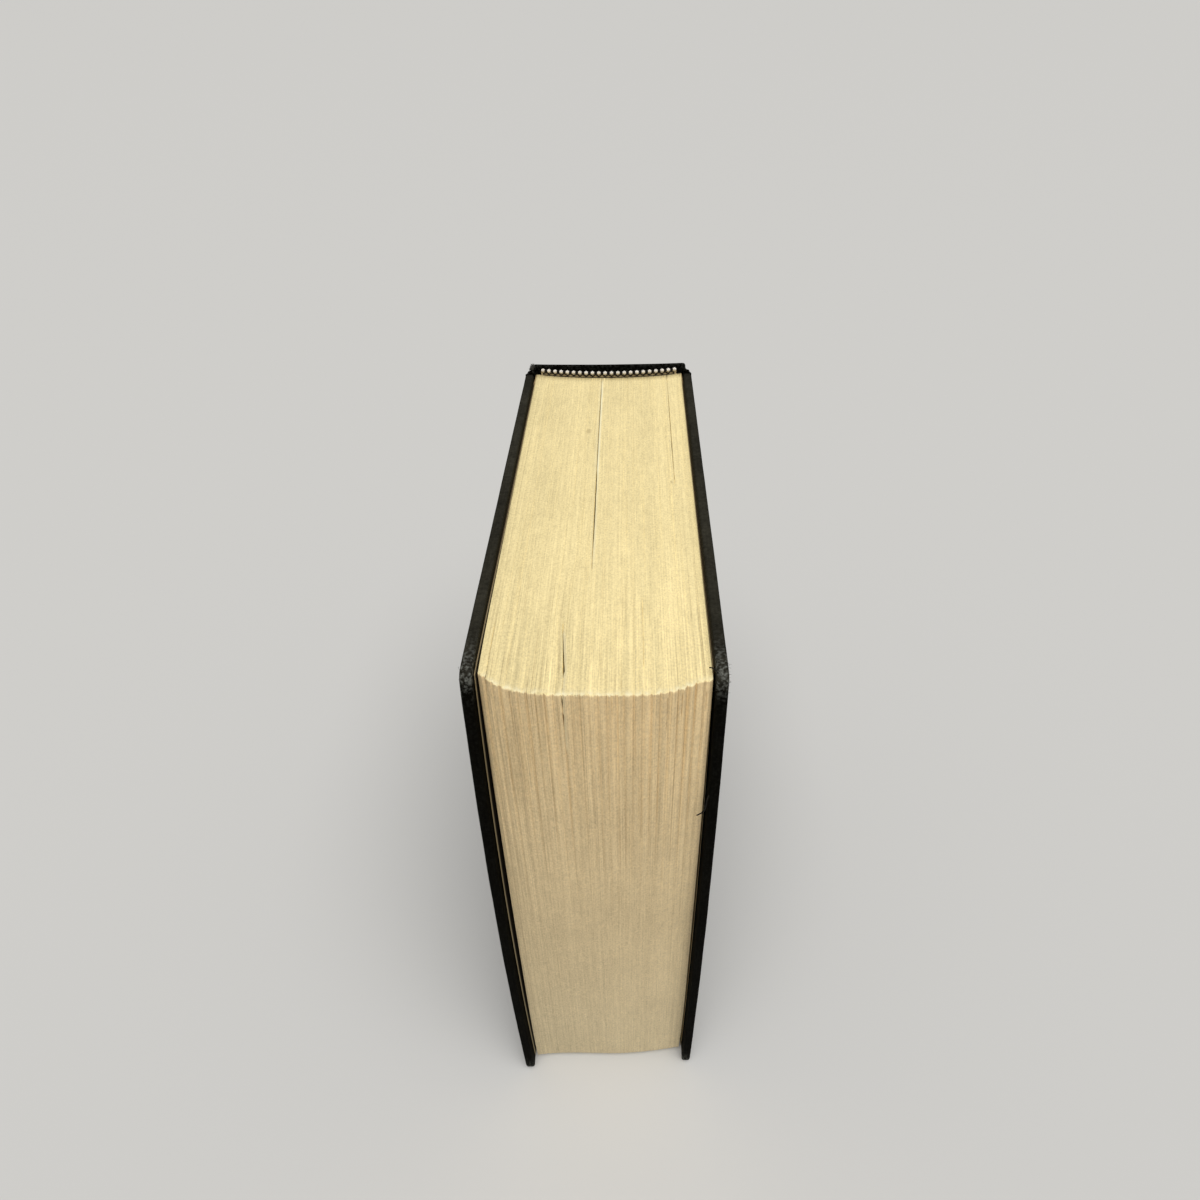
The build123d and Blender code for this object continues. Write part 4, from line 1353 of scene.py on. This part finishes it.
def make_fray_tree():
    tree, given = new_tree(
        "frayed_cloth", Fibres="Int", Length="Float", Thickness="Float", Lean="Vector", Scatter="Float",
        Seed="Int", Finish="Material",
    )
    seeds = [given["Seed"] + number for number in range(3)]
    points = spaced_points(given, given["Fibres"])
    points = shifted(points, random_value(seeds[0], "FLOAT_VECTOR", *EVERY_WAY), given["Scatter"])
    aside = random_value(seeds[1], "FLOAT_VECTOR", *EVERY_WAY)
    aim = add_wire(tree, "ShaderNodeVectorMath", {0: given["Lean"], 1: aside}, operation="ADD")
    bend = {"Resolution": 4, "Start": (0, 0, 0), "Middle": (0, 0, 0.6), "End": (0.4, 0.1, 0.85)}
    bent = add_wire(tree, "GeometryNodeCurveQuadraticBezier", bend)
    fibre = swept(bent, given["Thickness"] / given["Length"], 3)
    size = given["Length"] * random_value(seeds[2], "FLOAT", 0.35, 1.0)
    fibres = placed(points, fibre, Rotation=turned_along(aim), Scale=size)
    return end_tree(dyed(fibres, given["Finish"]))


def make_strand_tree():
    tree, given = new_tree("loose_thread", Thickness="Float", Finish="Material")
    line = add_wire(tree, "GeometryNodeMeshToCurve", {"Mesh": given["Line"]})
    return end_tree(dyed(swept(line, given["Thickness"], 6), given["Finish"]))


fray_tree, strand_tree = make_fray_tree(), make_strand_tree()
grey_fuzz = make_fibre_finish("grey_fuzz", colour(104, 102, 95), colour(48, 46, 42), 1500)

# %% [markdown]
# The lines that the fuzz grows from run to and fro over each worn place, just under its cloth. The back
# cover's corner is worn most. The fuzz at the end of the spine gets a mesh of its own, where the open front
# cover lies against it.

# %% Fuzz on the corners and the spine, and loose threads
CORNER_REACH = 5.0
SCATTER = 0.4  # how far the fibres are strewn from their line
FUZZ, STRANDS, SPINE_FUZZ = (0.9, 0.035), (1.3, 0.05), (1.7, 0.06)  # length and thickness


def corner_line():
    """Line to and fro over the worn corner of a cover at +X, at the head."""
    front, head = COVER_FRONT + 0.6, HEIGHT - 0.6
    turn = [(front + CORNER_REACH, head), (front + 2.4, head), (front + 0.8, head - 0.8), (front, head - 2.4)]
    turn.append((front, head - CORNER_REACH))
    line = []
    for number, x in enumerate(np.linspace(TURN_IN_FACE + 0.4, COVER_OUTSIDE - 0.4, 8)):
        line += [(x, y, z) for y, z in (turn if number % 2 else turn[::-1])]
    return np.array(line)


def add_fuzz(name, body, line, fibres, length, thickness, lean, seed, finish):
    """Fuzz along a line, riding on a body, with its length and thickness in millimetres."""
    fuzz = grow(
        name, line, fray_tree, Fibres=fibres, Length=length * MM, Thickness=thickness * MM, Lean=lean,
        Scatter=SCATTER * MM, Seed=seed, Finish=finish,
    )
    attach(fuzz, body)
    return fuzz


def add_strand(name, body, thickness, *handles):
    """One loose thread along a cubic curve."""
    line = bezier(*handles, count=14)
    strand = grow(name, line, strand_tree, Thickness=thickness * MM, Finish=black_thread)
    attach(strand, body)


UP_AND_FORWARD, OUTWARDS = (0.0, -0.6, 0.9), (-1.0, -0.2, 0.1)
for side, body, fibres in ((-1, "front_cover", 260), (1, "back_cover", 420)):
    line = corner_line() * (side, 1, 1)
    add_fuzz(f"{body}_fuzz", body, line, fibres, *FUZZ, UP_AND_FORWARD, 5 + side, grey_fuzz)
    add_fuzz(f"{body}_strands", body, line, fibres // 12, *STRANDS, UP_AND_FORWARD, 11 + side, black_thread)
spine_end = np.array([
    (-SPINE_SIDE + 0.5, SPINE_BACK - 1.5, HEIGHT - 0.5),
    (-SPINE_SIDE + 0.3, SHOULDER_Y, HEIGHT - 0.5),
])
spine_fuzz = add_fuzz("spine_fuzz", "book_block", spine_end, 380, *SPINE_FUZZ, OUTWARDS, 21, grey_fuzz)
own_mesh(spine_fuzz)
edge_x = TURN_IN_FACE + 0.7
thread_start, thread_turn = (edge_x + 0.1, -92.2, 182), (edge_x - 1.2, -92.8, 178)
thread_end = thread_start, thread_turn, (edge_x + 0.6, -92.6, 175.5), (28.9, -92.3, 172.6)
add_strand("hanging_thread", "back_cover", 0.19, *thread_end)
hair_end = (edge_x, -92.2, 186), (edge_x - 1.4, -93, 184), (30.2, -93, 181), (31.0, -92.6, 177)
add_strand("fine_hair", "back_cover", 0.05, *hair_end)
tip_end = (31.7, -90.6, 229.2), (31.0, -89.8, 229.9), (30.4, -88.6, 229.4), (29.7, -87.7, 228.5)
add_strand("corner_strand", "back_cover", 0.17, *tip_end)

# %% [markdown]
# ## Floor, light and camera
#
# The floor is plain and pale. One broad soft light comes from above, a little from the front, and the world
# fills the shadows, so that the head is bright and the fore-edge about two thirds as bright. The camera
# stands in front of the fore-edge and looks down over the head, as the photographer did.

# %% Floor and light
def make_floor():
    finish, tree, shader, place = new_finish("pale_floor", 0.9, 0.1)
    feed(shader, {"Base Color": colour(208, 207, 204)})
    reach = 20000.0
    corners = [(-reach, -reach, 0), (reach, -reach, 0), (reach, reach, 0), (-reach, reach, 0)]
    floor = make_piece("floor", corners, [(0, 1, 2, 3)], finish)


def add_soft_light(name, aim, spread, strength):
    """Broad, distant light along aim, as soft as its spread in degrees."""
    lamp = bpy.data.lights.new(name, "SUN")
    lamp.angle, lamp.energy = np.radians(spread), strength
    rig = bpy.data.objects.new(name, lamp)
    rig.matrix_world = look_along(aim).to_4x4()
    bpy.context.scene.collection.objects.link(rig)


def look_along(aim, up=(0, 0, 1)):
    """Turn that points an object's -Z along aim, with its Y as near to up as it can be."""
    back = -np.array(aim, float) / np.linalg.norm(aim)
    right = np.cross(up, back)
    right /= np.linalg.norm(right)
    return Matrix(np.stack([right, np.cross(back, right), back], -1).tolist())


make_floor()
world = bpy.data.worlds.new("soft_room")
bpy.context.scene.world = world
world.use_nodes = True
feed(world.node_tree.nodes["Background"], {"Color": (1.0, 0.985, 0.96, 1.0), "Strength": 0.25})
add_soft_light("overhead", (-0.1, 0.36, -1.0), spread=50, strength=2.5)
bpy.context.scene.view_settings.view_transform = "Standard"
print("floor, world and one soft light")

# %% [markdown]
# The camera's place and angles come from matching the corners of the boards in the photograph. The pitch
# looks down, the yaw turns to the left, and the small roll is how the phone was tilted.

# %% Camera
CAMERA_PLACE = (9.6, -243.55, 379.2)
CAMERA_PITCH, CAMERA_YAW, CAMERA_ROLL = np.radians([39.43, -2.75, -1.72])
FOCAL_PIXELS, IMAGE_PIXELS = 839.8, 1200


def make_camera():
    pitch, yaw, roll = CAMERA_PITCH, CAMERA_YAW, CAMERA_ROLL
    forward = np.array([np.sin(yaw) * np.cos(pitch), np.cos(yaw) * np.cos(pitch), -np.sin(pitch)])
    right = np.array([np.cos(yaw), -np.sin(yaw), 0.0])
    up = np.cross(right, forward)
    rolled_right = np.cos(roll) * right + np.sin(roll) * up
    rolled_up = np.cos(roll) * up - np.sin(roll) * right
    lens = bpy.data.cameras.new("camera")
    lens.lens = lens.sensor_width * FOCAL_PIXELS / IMAGE_PIXELS
    lens.clip_start, lens.clip_end = 0.01, 100
    camera = bpy.data.objects.new("camera", lens)
    turn = Matrix(np.stack([rolled_right, rolled_up, -forward], -1).tolist())
    camera.matrix_world = Matrix.Translation(np.array(CAMERA_PLACE) * MM) @ turn.to_4x4()
    bpy.context.scene.collection.objects.link(camera)
    bpy.context.scene.camera = camera
    return camera


camera = make_camera()
print(f"camera with a {camera.data.lens:.1f} mm lens")
